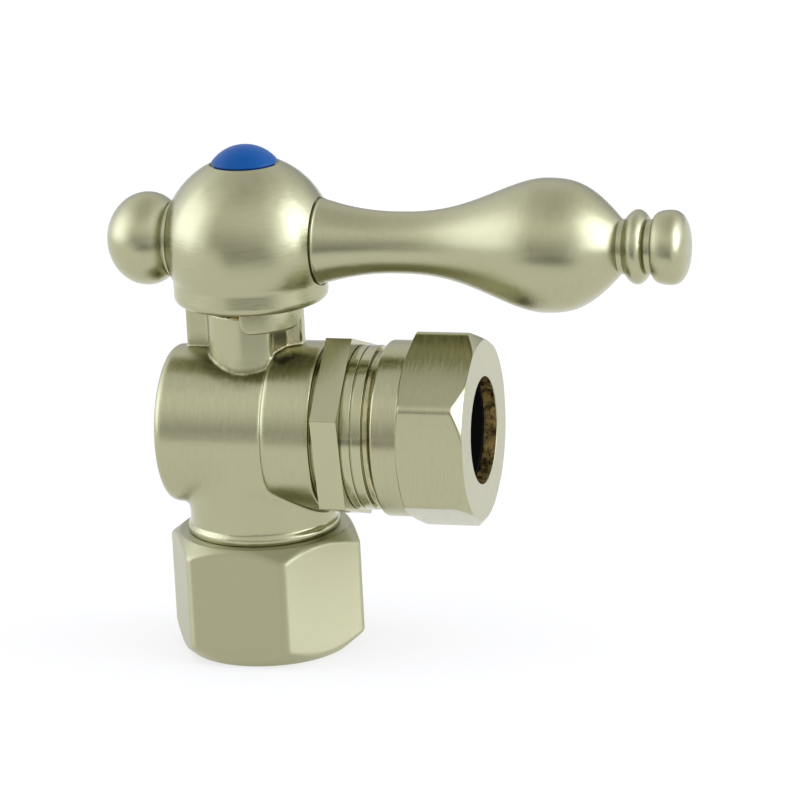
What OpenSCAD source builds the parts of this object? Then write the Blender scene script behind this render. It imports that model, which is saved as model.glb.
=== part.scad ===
// Quarter-turn angle stop valve with a lever handle, nickel plated brass.
// Origin: centre of the inlet nut's bottom face.
// +Z runs up the inlet and the stem, +X runs out of the outlet and along the lever of the open valve.

/* [Tubes] */
// Outside diameter of the supply tube at the inlet
inlet_tube_d = 12.7; // [12.2:0.1:13.2]
// Outside diameter of the riser tube at the outlet
outlet_tube_d = 12.7; // [12.2:0.1:13.2]
// Radial room round a tube in its socket
tube_clear = 0.1; // [0.05:0.01:0.2]

/* [Inlet] */
// Width of the inlet nut across its flats
inlet_nut_af = 22; // [21.6:0.1:25]
// Height of the inlet nut
inlet_nut_h = 15.25; // [14:0.25:18]
// Turn of the inlet nut's front corner away from the front
inlet_nut_turn = 26; // [0:1:60]
// Thickness of the inlet nut's end wall round the tube
inlet_nut_floor = 2; // [1.5:0.1:3]
// Radius of the flat on top of the inlet nut
inlet_nut_top_r = 10.6; // [10.2:0.1:11]
// Radius of the flat under the inlet nut
inlet_nut_foot_r = 10.1; // [9:0.1:10.4]
// Wall of the body's threaded inlet end round the tube
inlet_spigot_wall = 2.28; // [1.9:0.02:2.5]
// Length of the body's threaded inlet end inside the nut
inlet_spigot_l = 7.9; // [7:0.1:9]
// Depth of the tube socket in the inlet end
inlet_socket_l = 8; // [6:0.1:9]
// Wall of the ferrule
ferrule_wall = 1; // [0.8:0.05:1.1]

/* [Body] */
// Height of the outlet's axis above the inlet nut
neck_h = 13.15; // [12.5:0.05:16]
// Radius of the neck between the inlet nut and the barrel
neck_r = 9.15; // [8.85:0.05:9.5]
// Radius of the barrel
barrel_r = 9.85; // [9.6:0.05:10.4]
// Reach of the barrel's closed end behind the stem
barrel_back = 11.4; // [10.5:0.1:14]
// Rounding of the closed end's edge
barrel_edge = 2.6; // [0.5:0.1:4]
// Radius of the collar at the outlet
collar_r = 10.6; // [10.4:0.05:11.4]
// Length of the collar
collar_l = 6.3; // [5.8:0.1:6.8]
// Reach of the collar's face in front of the stem
collar_face = 9.3; // [9:0.1:11]
// Radius of the stem boss
boss_r = 5.7; // [5.4:0.05:5.9]
// Height of the stem boss above the outlet's axis
boss_h = 15.1; // [14:0.1:18]
// Radius of the waterway
water_r = 4.5; // [3.5:0.1:5]

/* [Ball and seats] */
// Radius of the ball
ball_r = 7; // [6.6:0.05:7.2]
// Radius of the ball's passage
port_r = 3.5; // [2.5:0.1:3.7]
// Room between the ball and the bore that holds it
ball_clear = 0.6; // [0.4:0.05:0.7]
// Room between the ball and its seats
seat_clear = 0.08; // [0.03:0.01:0.1]
// Start of the seats, counted from the ball's centre
seat_start = 4; // [3.6:0.1:4.4]
// Length of the outlet seat
outlet_seat_l = 2.6; // [2.2:0.1:2.7]
// Length of the inner seat
inner_seat_l = 3.7; // [2.5:0.1:4.5]

/* [Outlet adapter] */
// Width of the adapter's hexagon across its flats
adapter_af = 21.1; // [20.8:0.1:22.5]
// Length of the adapter's hexagon
adapter_hex_l = 3.3; // [3:0.1:6]
// Distance of the hexagon from the collar's face
adapter_gap = 0.65; // [0.4:0.05:1.2]
// Turn of the hexagon's front corner away from the front
adapter_turn = 19; // [0:1:60]
// Length of each of the two bands beyond the hexagon
band_l = 1.25; // [0.8:0.05:2]
// Radius of the bands
band_r = 10.2; // [9.9:0.05:10.4]
// Wall of the adapter's threaded outlet end round the tube
outlet_spigot_wall = 3.05; // [2.6:0.05:3.2]
// Length of the threaded outlet end
outlet_spigot_l = 8.45; // [7:0.05:10]
// Depth of the tube socket in the outlet end
outlet_socket_l = 10; // [7:0.1:11]

/* [Slip nut] */
// Width of the slip nut across its flats
slip_nut_af = 22; // [21.9:0.1:25]
// Turn of the slip nut's front corner away from the front
slip_nut_turn = 27; // [0:1:60]
// Radius of the slip nut's round skirt
skirt_r = 10.9; // [10.6:0.05:11]
// Length of the round skirt
skirt_l = 3.3; // [3:0.1:4.2]
// Length of the slip nut's hexagon
slip_hex_l = 8.45; // [7:0.05:9]
// Thickness of the slip nut's end wall
slip_nut_wall = 1.65; // [1.4:0.05:2.5]
// Radial room round the tube in the end wall
slip_hole_clear = 0.28; // [0.15:0.01:0.5]
// Thickness of the friction ring
friction_ring_l = 0.7; // [0.4:0.05:1]

/* [Stem] */
// Radius of the stem
stem_r = 3.5; // [3.2:0.05:3.6]
// Radial running room of the stem in the boss
stem_clear = 0.05; // [0.02:0.01:0.1]
// Radius of the stem's inner flange
flange_r = 4.6; // [4.3:0.05:4.8]
// Thickness of the stem's inner flange
flange_t = 1; // [0.8:0.05:1.2]
// Thickness of the thrust washer
thrust_washer_t = 0.7; // [0.4:0.05:0.8]
// Thickness of the drive tang in the ball's slot
tang_t = 2.8; // [2:0.1:3.2]
// Depth of the ball's slot
slot_depth = 2.2; // [1.6:0.1:2.4]
// Section radius of the stem's sealing rings
stem_ring_r = 0.55; // [0.4:0.05:0.6]
// Side of the stem's square end
square_side = 4.9; // [4.4:0.05:4.9]
// Length of the stem's square end in the hub
square_l = 6; // [4.5:0.1:6.5]

/* [Handle hub] */
// Gap between the stem boss and the hub
hub_gap = 1.4; // [0.8:0.1:2]
// Height of the lever's axis above the hub's lower edge
hub_drop = 7.1; // [6.8:0.05:8]
// Radius of the hub's ball
hub_r = 10.6; // [10.3:0.05:11.4]
// Taper of the hub's skirt, where the ball runs into it
hub_taper = 5.5; // [3:0.5:9]
// Rounding of the skirt's lower edge
hub_edge = 1.1; // [0.3:0.05:1.3]
// Width by which the hub's ball stands out round the pockets that seat the lever and the finial
seat_spread = 0.23; // [0.1:0.01:0.5]
// Radius of the well for the screw and the button's plug
well_r = 3.6; // [3.3:0.05:3.8]
// Drop of the hub's stop tab below the hub
tab_drop = 3.3; // [2.4:0.1:3.6]
// Thickness of the stop tab
tab_t = 0.9; // [0.7:0.05:1.2]
// Angle at which the stop tab starts, from the front towards the outlet
tab_from = 3; // [0:1:10]
// Angle that the stop tab spans
tab_span = 77; // [60:1:78]
// Reach of the body's back lug from the stem
back_lug_reach = 8.7; // [8:0.1:9.5]
// Thickness of the body's two lugs
lug_t = 2.2; // [1.6:0.1:2.6]
// Room between the stop tab and the boss, and under the hub's lugs
stop_clear = 0.3; // [0.2:0.05:0.5]

/* [Lever] */
// Length of the lever from its seat to its tip
lever_l = 46.5; // [42:0.1:52]
// Radius of the lever at its seat
lever_base_r = 5.35; // [5:0.05:5.8]
// Radius of the lever's waist
lever_waist_r = 3.8; // [3.4:0.05:4.4]
// Distance of the waist from the seat
lever_waist_x = 9.9; // [8:0.1:12]
// Radius of the lever's bulb
lever_bulb_r = 8.2; // [7:0.05:9]
// Distance of the bulb's widest point from the seat
lever_bulb_x = 28.9; // [26:0.1:31]
// Distance of the neck behind the bulb from the seat
lever_neck_x = 38; // [36.5:0.1:38.5]
// Radius of the lever's grooves
lever_groove_r = 3.5; // [3:0.05:3.8]
// Radius of the beads at the tip
bead_r = 4.55; // [4.1:0.05:5]
// Length of the first bead
bead_l = 3; // [2.6:0.05:3.2]
// Length of a groove
groove_l = 0.6; // [0.4:0.05:0.8]
// Radius of the lever's threaded shank
lever_shank_r = 2.5; // [1.8:0.05:2.8]
// Length of the lever's threaded shank
lever_shank_l = 4.3; // [3:0.05:4.5]

/* [Finial] */
// Radius of the finial's ball across the lever's axis
finial_r = 5.78; // [5.2:0.02:6.4]
// Distance of the finial's widest point from its seat
finial_x = 3.6; // [3.2:0.05:4.2]
// Reach of the finial's ball beyond its widest point
finial_reach = 5.05; // [4.6:0.05:5.8]
// Radius of the finial's seat ring
finial_ring_r = 4.6; // [4.3:0.05:4.65]
// Radius of the finial's threaded shank
finial_shank_r = 1.8; // [1.4:0.05:2.2]
// Length of the finial's threaded shank
finial_shank_l = 4; // [3:0.05:4.5]

/* [Screw and button] */
// Radius of the handle screw's shank
screw_r = 1.5; // [1.2:0.05:1.6]
// Radius of the handle screw's head
screw_head_r = 2.9; // [2.4:0.05:3]
// Height of the handle screw's head
screw_head_h = 2; // [1.4:0.1:2.4]
// Length of the handle screw's thread in the stem
screw_grip = 4.5; // [3:0.1:5]
// Thickness of the lock washer
lock_washer_t = 0.7; // [0.5:0.05:1]
// Radius of the index button
button_r = 4.1; // [3.9:0.05:4.6]
// Height of the index button's dome
button_h = 2.2; // [1.6:0.05:2.8]
// Length of the index button's plug
plug_l = 1.8; // [1.2:0.1:2]

/* [Hidden] */
$fn = 96;

// Finishes as the object shows them
nickel = [0.74, 0.72, 0.6];
polished = [0.82, 0.8, 0.69];
brass = [0.72, 0.56, 0.3];
seal_white = [0.93, 0.93, 0.9];
rubber = [0.1, 0.1, 0.1];
index_blue = [0.07, 0.33, 0.66];

// Radial room between mating threads, between parts that stay put, and round rings loose in a nut
thread_clear = 0.08;
fit_clear = 0.05;
loose_clear = 0.3;
// Room between a sealing ring and the floor of its groove
ring_clear = 0.02;
// Room past the end of a shank or a screw in its hole
end_clear = 0.2;
// Gap left between the stop tab and a lug at either end of the turn
stop_gap = 0.1;
// Chamfer at the start of a thread
lead = 0.5;
// Small length by which a cut passes the face that it opens
past = 1;
// Points on a rounded edge and on a swelling outline
edge_steps = 6;
swell_steps = 14;

// Inlet, from the nut's foot up
inlet_socket_r = inlet_tube_d / 2 + tube_clear;
inlet_thread_r = inlet_socket_r + inlet_spigot_wall;
inlet_spigot_z = inlet_nut_h - inlet_spigot_l;
inlet_mouth = 1.15;
ferrule_nose = 0.1;
cone_clear = 0.45;
neck_lip = 0.3;
nut_gap = 0.35;

// Heights
outlet_z = inlet_nut_h + neck_h;
boss_top = outlet_z + boss_h;
hub_z = boss_top + hub_gap;
lever_z = hub_z + hub_drop;

// Bore of the body along the outlet's axis
cavity_r = ball_r + ball_clear;
seat_r = cavity_r - fit_clear;
seat_step = 0.4;
seat_bore_r = port_r + seat_step;
cavity_back = seat_start + inner_seat_l;
adapter_in = seat_start + outlet_seat_l;
shank_step = 0.9;
shank_r = cavity_r + shank_step;
shank_l = collar_face - adapter_in;

// Adapter, its sealing ring and the slip nut along the outlet's axis
outlet_socket_r = outlet_tube_d / 2 + tube_clear;
spigot_r = outlet_socket_r + outlet_spigot_wall;
band_groove = 0.15;
hex_x = collar_face + adapter_gap;
bands_x = hex_x + adapter_hex_l;
spigot_x = bands_x + 2 * band_l + band_groove;
spigot_end = spigot_x + outlet_spigot_l;
seal_r = 0.45;
seal_groove_l = 1.2;
seal_floor_r = shank_r - 2 * seal_r + ring_clear;
seal_back = 1.1;
seal_x = collar_face - seal_back;
slip_hole_r = outlet_tube_d / 2 + slip_hole_clear;
slip_thread_r = spigot_r + thread_clear;
washer_r = slip_thread_r - loose_clear;
washer_l = 2.1;
washer_nose = 1;
slip_inner = spigot_end + washer_l + friction_ring_l + fit_clear;
slip_end = slip_inner + slip_nut_wall;
slip_start = slip_end - slip_hex_l - skirt_l;

// Stem, from the ball up
stem_bore_r = stem_r + stem_clear;
flange_gap = 0.1;
flange_z = outlet_z + cavity_r + flange_gap;
washer_z = flange_z + flange_t;
counterbore_r = flange_r + 2 * fit_clear;
counterbore_z = washer_z + thrust_washer_t + fit_clear;
ring_spacing = 2.3;
ring_rise = 1.1;
ring_low_z = counterbore_z + ring_rise;
ring_groove_l = 2.5 * stem_ring_r;
ring_proud = 0.03;
tang_l = 2 * sqrt(pow(seat_start - 2 * fit_clear, 2) - pow(tang_t / 2, 2));
stem_top = hub_z + square_l;

// Hub and what it carries
hub_web = 3.6;
hub_web_z = stem_top + hub_web;
hub_rim_z = lever_z + sqrt(pow(hub_r, 2) - pow(button_r, 2));
seat_room = 0.25;
lever_seat = sqrt(pow(hub_r, 2) - pow(lever_base_r + seat_room + seat_spread, 2));
finial_seat = sqrt(pow(hub_r, 2) - pow(finial_ring_r + seat_room + seat_spread, 2));
button_seat = 0.4;

// Quarter-turn stop: the lugs' faces follow from the tab's two ends
tab_r = boss_r + stop_clear;
tab_out_r = tab_r + tab_t;
tab_edge = 0.5;
lug_top = hub_z - stop_clear;
back_lug_y = stop_gap - tab_r * sin(tab_from);
outlet_lug_y = stop_gap - tab_r * cos(tab_from + tab_span);
outlet_lug_reach = tab_out_r - tab_edge;

// Points along an arc about a centre, from one angle to another
function arc(centre, r, from, to, steps) =
    [for (i = [0:steps]) let (a = from + (to - from) * i / steps) centre + r * [cos(a), sin(a)]];

// Smooth rise from 0 to 1
function rise(t) = t * t * (3 - 2 * t);

// Solid of revolution about Z from a closed outline of radius and height
module lathe(outline) {
    rotate_extrude() polygon(outline);
}

// Turns a child made about Z onto the outlet's axis, its height running along +X
module on_outlet() {
    translate([0, 0, outlet_z]) rotate([0, 90, 0]) children();
}

// Turns a child made about Z onto the lever's axis
module on_lever() {
    translate([0, 0, lever_z]) rotate([0, 90, 0]) children();
}

// Plain ring
module ring(outer_r, inner_r, h) {
    difference() {
        cylinder(r = outer_r, h = h);
        translate([0, 0, -past]) cylinder(r = inner_r, h = h + 2 * past);
    }
}

// Hexagonal bar with a corner at the given turn
module hexagon(af, h, turn) {
    rotate([0, 0, turn]) cylinder(r = af / sqrt(3), h = h, $fn = 6);
}

// Hexagonal bar coned down to a round face at each end
module coned_hexagon(af, h, turn, low_r, low_slope, high_r, high_slope) {
    wide_r = af / sqrt(3) + past;
    intersection() {
        hexagon(af, h, turn);
        lathe([
            [0, 0], [low_r, 0], [wide_r, (wide_r - low_r) * low_slope],
            [wide_r, h - (wide_r - high_r) * high_slope], [high_r, h], [0, h]
        ]);
    }
}

// Sealing ring of round section
module o_ring(middle_r, section_r) {
    rotate_extrude() translate([middle_r, 0]) circle(r = section_r);
}

// Sector of a ring, angles counted from the front towards the outlet
module sector(outline, from, span) {
    rotate([0, 0, from - 90]) rotate_extrude(angle = span) polygon(outline);
}

// Forged body: barrel, collar, neck, stem boss with two stop lugs, bored for ball, seats, stem and tubes
module valve_body() {
    color(nickel) difference() {
        body_outside();
        body_bores();
    }
}

module body_outside() {
    step = collar_r - barrel_r;
    collar_x = collar_face - collar_l;
    on_outlet() lathe(concat(
        [[0, -barrel_back]],
        arc([barrel_r - barrel_edge, barrel_edge - barrel_back], barrel_edge, -90, 0, edge_steps),
        [[barrel_r, collar_x]],
        arc([collar_r - step, collar_x + step], step, -90, 0, edge_steps),
        [[collar_r, collar_face], [0, collar_face]]
    ));
    neck();
    translate([0, 0, outlet_z]) cylinder(r = boss_r, h = boss_h);
    stop_lugs();
}

// Neck with its lip over the nut and the threaded end inside the nut
module neck() {
    lip_z = inlet_nut_h + nut_gap;
    lip_r = neck_r + neck_lip;
    lathe([
        [0, inlet_spigot_z], [inlet_thread_r - lead, inlet_spigot_z],
        [inlet_thread_r, inlet_spigot_z + lead], [inlet_thread_r, lip_z],
        [lip_r, lip_z], [lip_r, lip_z + neck_lip], [neck_r, lip_z + 4 * neck_lip],
        [neck_r, outlet_z], [0, outlet_z]
    ]);
}

// Two lugs on the boss that stop the hub's tab, one behind and one towards the outlet
module stop_lugs() {
    root = 1.2;
    start = boss_r - root;
    lug_h = lug_top - outlet_z;
    translate([-back_lug_reach, back_lug_y, outlet_z]) cube([back_lug_reach - start, lug_t, lug_h]);
    translate([start, outlet_lug_y, outlet_z]) cube([outlet_lug_reach - start, lug_t, lug_h]);
}

module body_bores() {
    mouth_r = inlet_socket_r + inlet_mouth;
    socket_z = inlet_spigot_z + inlet_socket_l;
    on_outlet() translate([0, 0, -cavity_back]) cylinder(r = cavity_r, h = cavity_back + collar_face + past);
    on_outlet() translate([0, 0, adapter_in]) cylinder(r = shank_r + fit_clear, h = shank_l + past);
    lathe([
        [0, inlet_spigot_z - past], [mouth_r, inlet_spigot_z - past], [mouth_r, inlet_spigot_z],
        [inlet_socket_r, inlet_spigot_z + inlet_mouth], [inlet_socket_r, socket_z],
        [water_r, socket_z], [water_r, outlet_z], [0, outlet_z]
    ]);
    translate([0, 0, outlet_z]) cylinder(r = counterbore_r, h = counterbore_z - outlet_z);
    translate([0, 0, outlet_z]) cylinder(r = stem_bore_r, h = boss_h + past);
    boss_relief();
}

// Cast relief in the boss beside the lug at the outlet's side
module boss_relief() {
    depth = 0.9;
    web = 0.3;
    from = 38;
    span = 40;
    floor_r = boss_r - depth;
    floor_z = counterbore_z + web;
    open_r = boss_r + past;
    open_z = boss_top + past;
    sector([[floor_r, floor_z], [open_r, floor_z], [open_r, open_z], [floor_r, open_z]], from, span);
}

// Soft seat ring with a face cut to the ball
module seat(length) {
    difference() {
        ring(seat_r, seat_bore_r, length);
        translate([0, 0, -seat_start]) sphere(r = ball_r + seat_clear);
    }
}

module inner_seat() {
    color(seal_white) on_outlet() mirror([0, 0, 1]) translate([0, 0, seat_start]) seat(inner_seat_l);
}

module outlet_seat() {
    color(seal_white) on_outlet() translate([0, 0, seat_start]) seat(outlet_seat_l);
}

// Ball with a passage from below that turns to the outlet, and a slot for the stem's tang
module valve_ball() {
    slot_w = tang_t + 2 * fit_clear;
    color(polished) translate([0, 0, outlet_z]) difference() {
        sphere(r = ball_r);
        translate([0, 0, -ball_r - past]) cylinder(r = port_r, h = ball_r + past);
        rotate([0, 90, 0]) cylinder(r = port_r, h = ball_r + past);
        translate([-ball_r, -slot_w / 2, ball_r - slot_depth]) cube([2 * ball_r, slot_w, slot_depth + past]);
    }
}

// Adapter screwed into the collar: shank, shoulder, hexagon, two bands and the threaded outlet end
module outlet_adapter() {
    shoulder = 0.9;
    shoulder_r = adapter_af / 2 - shoulder;
    color(polished) on_outlet() difference() {
        union() {
            translate([0, 0, adapter_in]) cylinder(r = shank_r, h = shank_l + past);
            translate([0, 0, collar_face]) cylinder(r = shoulder_r, h = adapter_gap + past);
            translate([0, 0, hex_x]) hexagon(adapter_af, adapter_hex_l, 270 - adapter_turn);
            adapter_outlet();
        }
        translate([0, 0, adapter_in - past]) cylinder(r = water_r, h = spigot_end);
        translate([0, 0, spigot_end - outlet_socket_l])
            cylinder(r = outlet_socket_r, h = outlet_socket_l + past);
        washer_mouth();
        translate([0, 0, seal_x - seal_groove_l / 2]) ring(shank_r + past, seal_floor_r, seal_groove_l);
    }
}

// Bands and threaded end as one turned outline
module adapter_outlet() {
    groove_r = band_r - band_groove;
    first = bands_x + band_l;
    second = first + band_groove;
    lathe([
        [0, bands_x - past], [groove_r, bands_x - past], [band_r, bands_x], [band_r, first],
        [groove_r, first], [groove_r, second], [band_r, second], [band_r, spigot_x - band_groove],
        [groove_r, spigot_x], [spigot_r, spigot_x],
        [spigot_r, spigot_end - lead], [spigot_r - lead, spigot_end], [0, spigot_end]
    ]);
}

// Cone in the mouth of the outlet end that the slip washer's nose enters
module washer_mouth() {
    mouth_r = outlet_socket_r + washer_nose;
    lathe([
        [0, spigot_end - washer_nose], [outlet_socket_r, spigot_end - washer_nose], [mouth_r, spigot_end],
        [mouth_r, spigot_end + past], [0, spigot_end + past]
    ]);
}

module adapter_o_ring() {
    color(rubber) on_outlet() translate([0, 0, seal_x]) o_ring(seal_floor_r + seal_r + ring_clear, seal_r);
}

// Compression sleeve that the inlet nut presses on the tube
module inlet_ferrule() {
    low = inlet_nut_floor + cone_clear;
    high = inlet_spigot_z + inlet_mouth - cone_clear;
    nose_r = inlet_socket_r + ferrule_nose;
    taper = ferrule_wall - ferrule_nose;
    color(brass) lathe([
        [inlet_socket_r, low], [nose_r, low], [nose_r + taper, low + taper],
        [nose_r + taper, high - taper], [nose_r, high], [inlet_socket_r, high]
    ]);
}

// Inlet nut: hexagon turned down to a round face at each end, coned inside for the ferrule
module inlet_nut() {
    top_slope = 0.76;
    foot_slope = 0.86;
    thread_r = inlet_thread_r + thread_clear;
    hole_r = inlet_socket_r + fit_clear;
    color(nickel) difference() {
        coned_hexagon(
            inlet_nut_af, inlet_nut_h, inlet_nut_turn - 90,
            inlet_nut_foot_r, foot_slope, inlet_nut_top_r, top_slope
        );
        lathe([
            [0, -past], [hole_r, -past], [hole_r, inlet_nut_floor],
            [thread_r, inlet_nut_floor + thread_r - hole_r], [thread_r, inlet_nut_h + past],
            [0, inlet_nut_h + past]
        ]);
    }
}

// Rubber washer with a nose in the mouth of the outlet end
module slip_washer() {
    nose = washer_nose - loose_clear;
    color(rubber) on_outlet() lathe([
        [outlet_socket_r, spigot_end - nose], [outlet_socket_r + loose_clear, spigot_end - nose],
        [outlet_socket_r + nose, spigot_end], [washer_r, spigot_end], [washer_r, spigot_end + washer_l],
        [outlet_socket_r, spigot_end + washer_l]
    ]);
}

module friction_ring() {
    color(brass) on_outlet() translate([0, 0, spigot_end + washer_l])
        ring(washer_r, outlet_socket_r, friction_ring_l);
}

// Slip nut: round skirt, hexagon coned at both ends, end wall with the tube's hole
module slip_nut() {
    face_lip = 0.15;
    face_r = slip_nut_af / 2 + face_lip;
    face_slope = 0.9;
    back_slope = 0.45;
    color(nickel) on_outlet() difference() {
        union() {
            translate([0, 0, slip_start]) cylinder(r = skirt_r, h = skirt_l + past);
            translate([0, 0, slip_start + skirt_l])
                coned_hexagon(
                    slip_nut_af, slip_hex_l, 270 - slip_nut_turn, skirt_r, back_slope, face_r, face_slope
                );
        }
        translate([0, 0, slip_start - past]) cylinder(r = slip_thread_r, h = slip_inner - slip_start + past);
        translate([0, 0, slip_inner - past]) cylinder(r = slip_hole_r, h = slip_nut_wall + 2 * past);
    }
}

// Stem: tang, flange, shaft with two ring grooves, square end tapped for the handle screw
module stem() {
    groove_r = stem_r - 2 * stem_ring_r + ring_clear;
    tang_z = outlet_z + ball_r - slot_depth + fit_clear;
    tap_l = screw_grip + end_clear;
    color(brass) difference() {
        union() {
            translate([-tang_l / 2, -tang_t / 2, tang_z])
                cube([tang_l, tang_t, flange_z - tang_z + fit_clear]);
            translate([0, 0, flange_z]) cylinder(r = flange_r, h = flange_t);
            translate([0, 0, washer_z]) cylinder(r = stem_r, h = hub_z - washer_z - fit_clear);
            translate([-square_side / 2, -square_side / 2, hub_z - past])
                cube([square_side, square_side, square_l + past]);
        }
        for (i = [0, 1])
            translate([0, 0, ring_low_z + i * ring_spacing - ring_groove_l / 2])
                ring(stem_r + past, groove_r, ring_groove_l);
        translate([0, 0, stem_top - tap_l]) cylinder(r = screw_r + fit_clear, h = tap_l + past);
    }
}

module stem_thrust_washer() {
    color(seal_white) translate([0, 0, washer_z]) ring(flange_r, stem_r + fit_clear, thrust_washer_t);
}

// Sealing rings stand just proud of the stem, short of the bore
module stem_ring(place) {
    color(rubber) translate([0, 0, ring_low_z + place * ring_spacing])
        o_ring(stem_r - stem_ring_r + ring_proud, stem_ring_r);
}

module stem_o_ring_lower() {
    stem_ring(0);
}

module stem_o_ring_upper() {
    stem_ring(1);
}

// Hub: ball on a short skirt with pockets for lever and finial, stop tab, square socket and screw well
module handle_hub() {
    socket = square_side + 2 * fit_clear;
    color(nickel) difference() {
        union() {
            hub_outside();
            stop_tab();
        }
        translate([-socket / 2, -socket / 2, hub_z - past])
            cube([socket, socket, square_l + past + fit_clear]);
        translate([0, 0, stem_top]) cylinder(r = screw_r + end_clear, h = hub_r);
        translate([0, 0, hub_web_z]) cylinder(r = well_r, h = hub_r);
        translate([0, 0, hub_rim_z - button_seat]) cylinder(r = button_r + fit_clear, h = hub_r);
        on_lever() hub_seat(lever_seat, lever_base_r, lever_shank_r, lever_shank_l);
        on_lever() mirror([0, 0, 1]) hub_seat(finial_seat, finial_ring_r, finial_shank_r, finial_shank_l);
    }
}

// Cut for a pocket with a tapped hole in it
module hub_seat(seat_x, base_r, shaft_r, shaft_l) {
    translate([0, 0, seat_x]) cylinder(r = base_r + seat_room, h = hub_r);
    translate([0, 0, seat_x - shaft_l - end_clear]) cylinder(r = shaft_r + fit_clear, h = shaft_l + hub_r);
}

// Ball that runs smoothly into a tapered skirt with a rounded lower edge
module hub_outside() {
    join_r = hub_r * cos(hub_taper);
    join_z = lever_z - hub_r * sin(hub_taper);
    edge_z = hub_z + hub_edge;
    edge_r = (hub_r - hub_edge - (lever_z - edge_z) * sin(hub_taper)) / cos(hub_taper);
    difference() {
        translate([0, 0, lever_z]) sphere(r = hub_r);
        translate([0, 0, hub_z - hub_r]) cylinder(r = 2 * hub_r, h = join_z - hub_z + hub_r);
    }
    lathe(concat(
        [[0, hub_z]],
        arc([edge_r, edge_z], hub_edge, -90, -hub_taper, edge_steps),
        [[join_r, join_z], [0, join_z]]
    ));
}

// Tab under the hub that meets the body's lugs at both ends of the quarter turn
module stop_tab() {
    low = hub_z - tab_drop;
    sector(concat(
        [[tab_r, hub_z + past], [tab_r, low]],
        arc([tab_out_r - tab_edge, low + tab_edge], tab_edge, -90, 0, edge_steps),
        [[tab_out_r, hub_z + past]]
    ), tab_from, tab_span);
}

// Lever: waisted grip swelling to a bulb, two beads at the tip, threaded shank in the hub
module lever() {
    color(nickel) on_lever() {
        lathe(concat([[0, lever_seat]], lever_grip(), lever_tip()));
        translate([0, 0, lever_seat - lever_shank_l]) cylinder(r = lever_shank_r, h = lever_shank_l + past);
    }
}

// Outline of the grip: rounded seat edge, taper to the waist, swell to the bulb, fall to the neck
function lever_grip() =
    let (
        edge = 0.5,
        flare = 1.4,
        fullness = 1.35,
        waist = lever_seat + lever_waist_x,
        taper_l = lever_waist_x - edge,
        swell_l = lever_bulb_x - lever_waist_x,
        fall_l = lever_neck_x - lever_bulb_x
    )
    concat(
        [[lever_base_r - edge, lever_seat]],
        arc([lever_base_r - edge, lever_seat + edge], edge, -60, 0, edge_steps),
        [for (i = [1:swell_steps]) let (t = 1 - i / swell_steps)
            [lever_waist_r + (lever_base_r - lever_waist_r) * t * t, waist - taper_l * t]],
        [for (i = [1:swell_steps]) let (t = i / swell_steps)
            [lever_waist_r + (lever_bulb_r - lever_waist_r) * rise(pow(t, flare)), waist + swell_l * t]],
        [for (i = [1:swell_steps]) let (t = i / swell_steps)
            [lever_groove_r + (lever_bulb_r - lever_groove_r) * cos(90 * pow(t, fullness)),
             waist + swell_l + fall_l * t]]
    );

// Outline of the two beads: the first leans towards the tip, the second is a flattened ball
function lever_tip() =
    let (
        lean = 1.3,
        tip_share = 0.48,
        bead_x = lever_seat + lever_neck_x + groove_l,
        tip_x = bead_x + bead_l + groove_l,
        tip_l = lever_seat + lever_l - tip_x,
        crown = bead_r - lever_groove_r,
        start = acos(lever_groove_r / bead_r),
        back_l = tip_l * tip_share,
        front_l = tip_l - back_l
    )
    concat(
        [for (i = [0:swell_steps]) let (t = i / swell_steps)
            [lever_groove_r + crown * sin(180 * pow(t, lean)), bead_x + bead_l * t]],
        [for (i = [0:edge_steps]) let (a = start * (1 - i / edge_steps))
            [bead_r * cos(a), tip_x + back_l * (1 - sin(a) / sin(start))]],
        [for (i = [1:swell_steps]) let (a = 90 * i / swell_steps)
            [bead_r * cos(a), tip_x + back_l + front_l * sin(a)]]
    );

// Finial: flattened ball on a thin seat ring, threaded shank in the hub
module finial_ball() {
    ring_l = 0.35;
    groove = 0.2;
    ball_start = ring_l + groove;
    start = acos(finial_ring_r / finial_r);
    back_l = finial_x - ball_start;
    color(nickel) on_lever() mirror([0, 0, 1]) {
        translate([0, 0, finial_seat]) lathe(concat(
            [[0, 0], [finial_ring_r, 0], [finial_ring_r, ring_l], [finial_ring_r - groove, ring_l],
             [finial_ring_r - groove, ball_start]],
            [for (i = [0:swell_steps]) let (a = start * (1 - i / swell_steps))
                [finial_r * cos(a), ball_start + back_l * (1 - sin(a) / sin(start))]],
            [for (i = [1:swell_steps]) let (a = 90 * i / swell_steps)
                [finial_r * cos(a), finial_x + finial_reach * sin(a)]]
        ));
        translate([0, 0, finial_seat - finial_shank_l])
            cylinder(r = finial_shank_r, h = finial_shank_l + past);
    }
}

// Pan head screw with a cross slot, down through the hub into the stem
module handle_screw() {
    head_z = hub_web_z + lock_washer_t;
    slot_w = 0.8;
    slot_h = screw_head_h / 2;
    slot_l = 1.4 * screw_head_r;
    color(polished) difference() {
        union() {
            translate([0, 0, head_z]) cylinder(r = screw_head_r, h = screw_head_h);
            translate([0, 0, stem_top - screw_grip])
                cylinder(r = screw_r, h = head_z - stem_top + screw_grip + past);
        }
        for (turn = [0, 90]) rotate([0, 0, turn])
            translate([-slot_l / 2, -slot_w / 2, head_z + slot_h]) cube([slot_l, slot_w, slot_h + past]);
    }
}

// Split spring washer under the screw's head
module screw_lock_washer() {
    split = 0.4;
    color(polished) translate([0, 0, hub_web_z]) difference() {
        ring(screw_head_r - fit_clear, screw_r + end_clear, lock_washer_t);
        translate([0, -split / 2, -past]) cube([screw_head_r, split, lock_washer_t + 2 * past]);
    }
}

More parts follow.
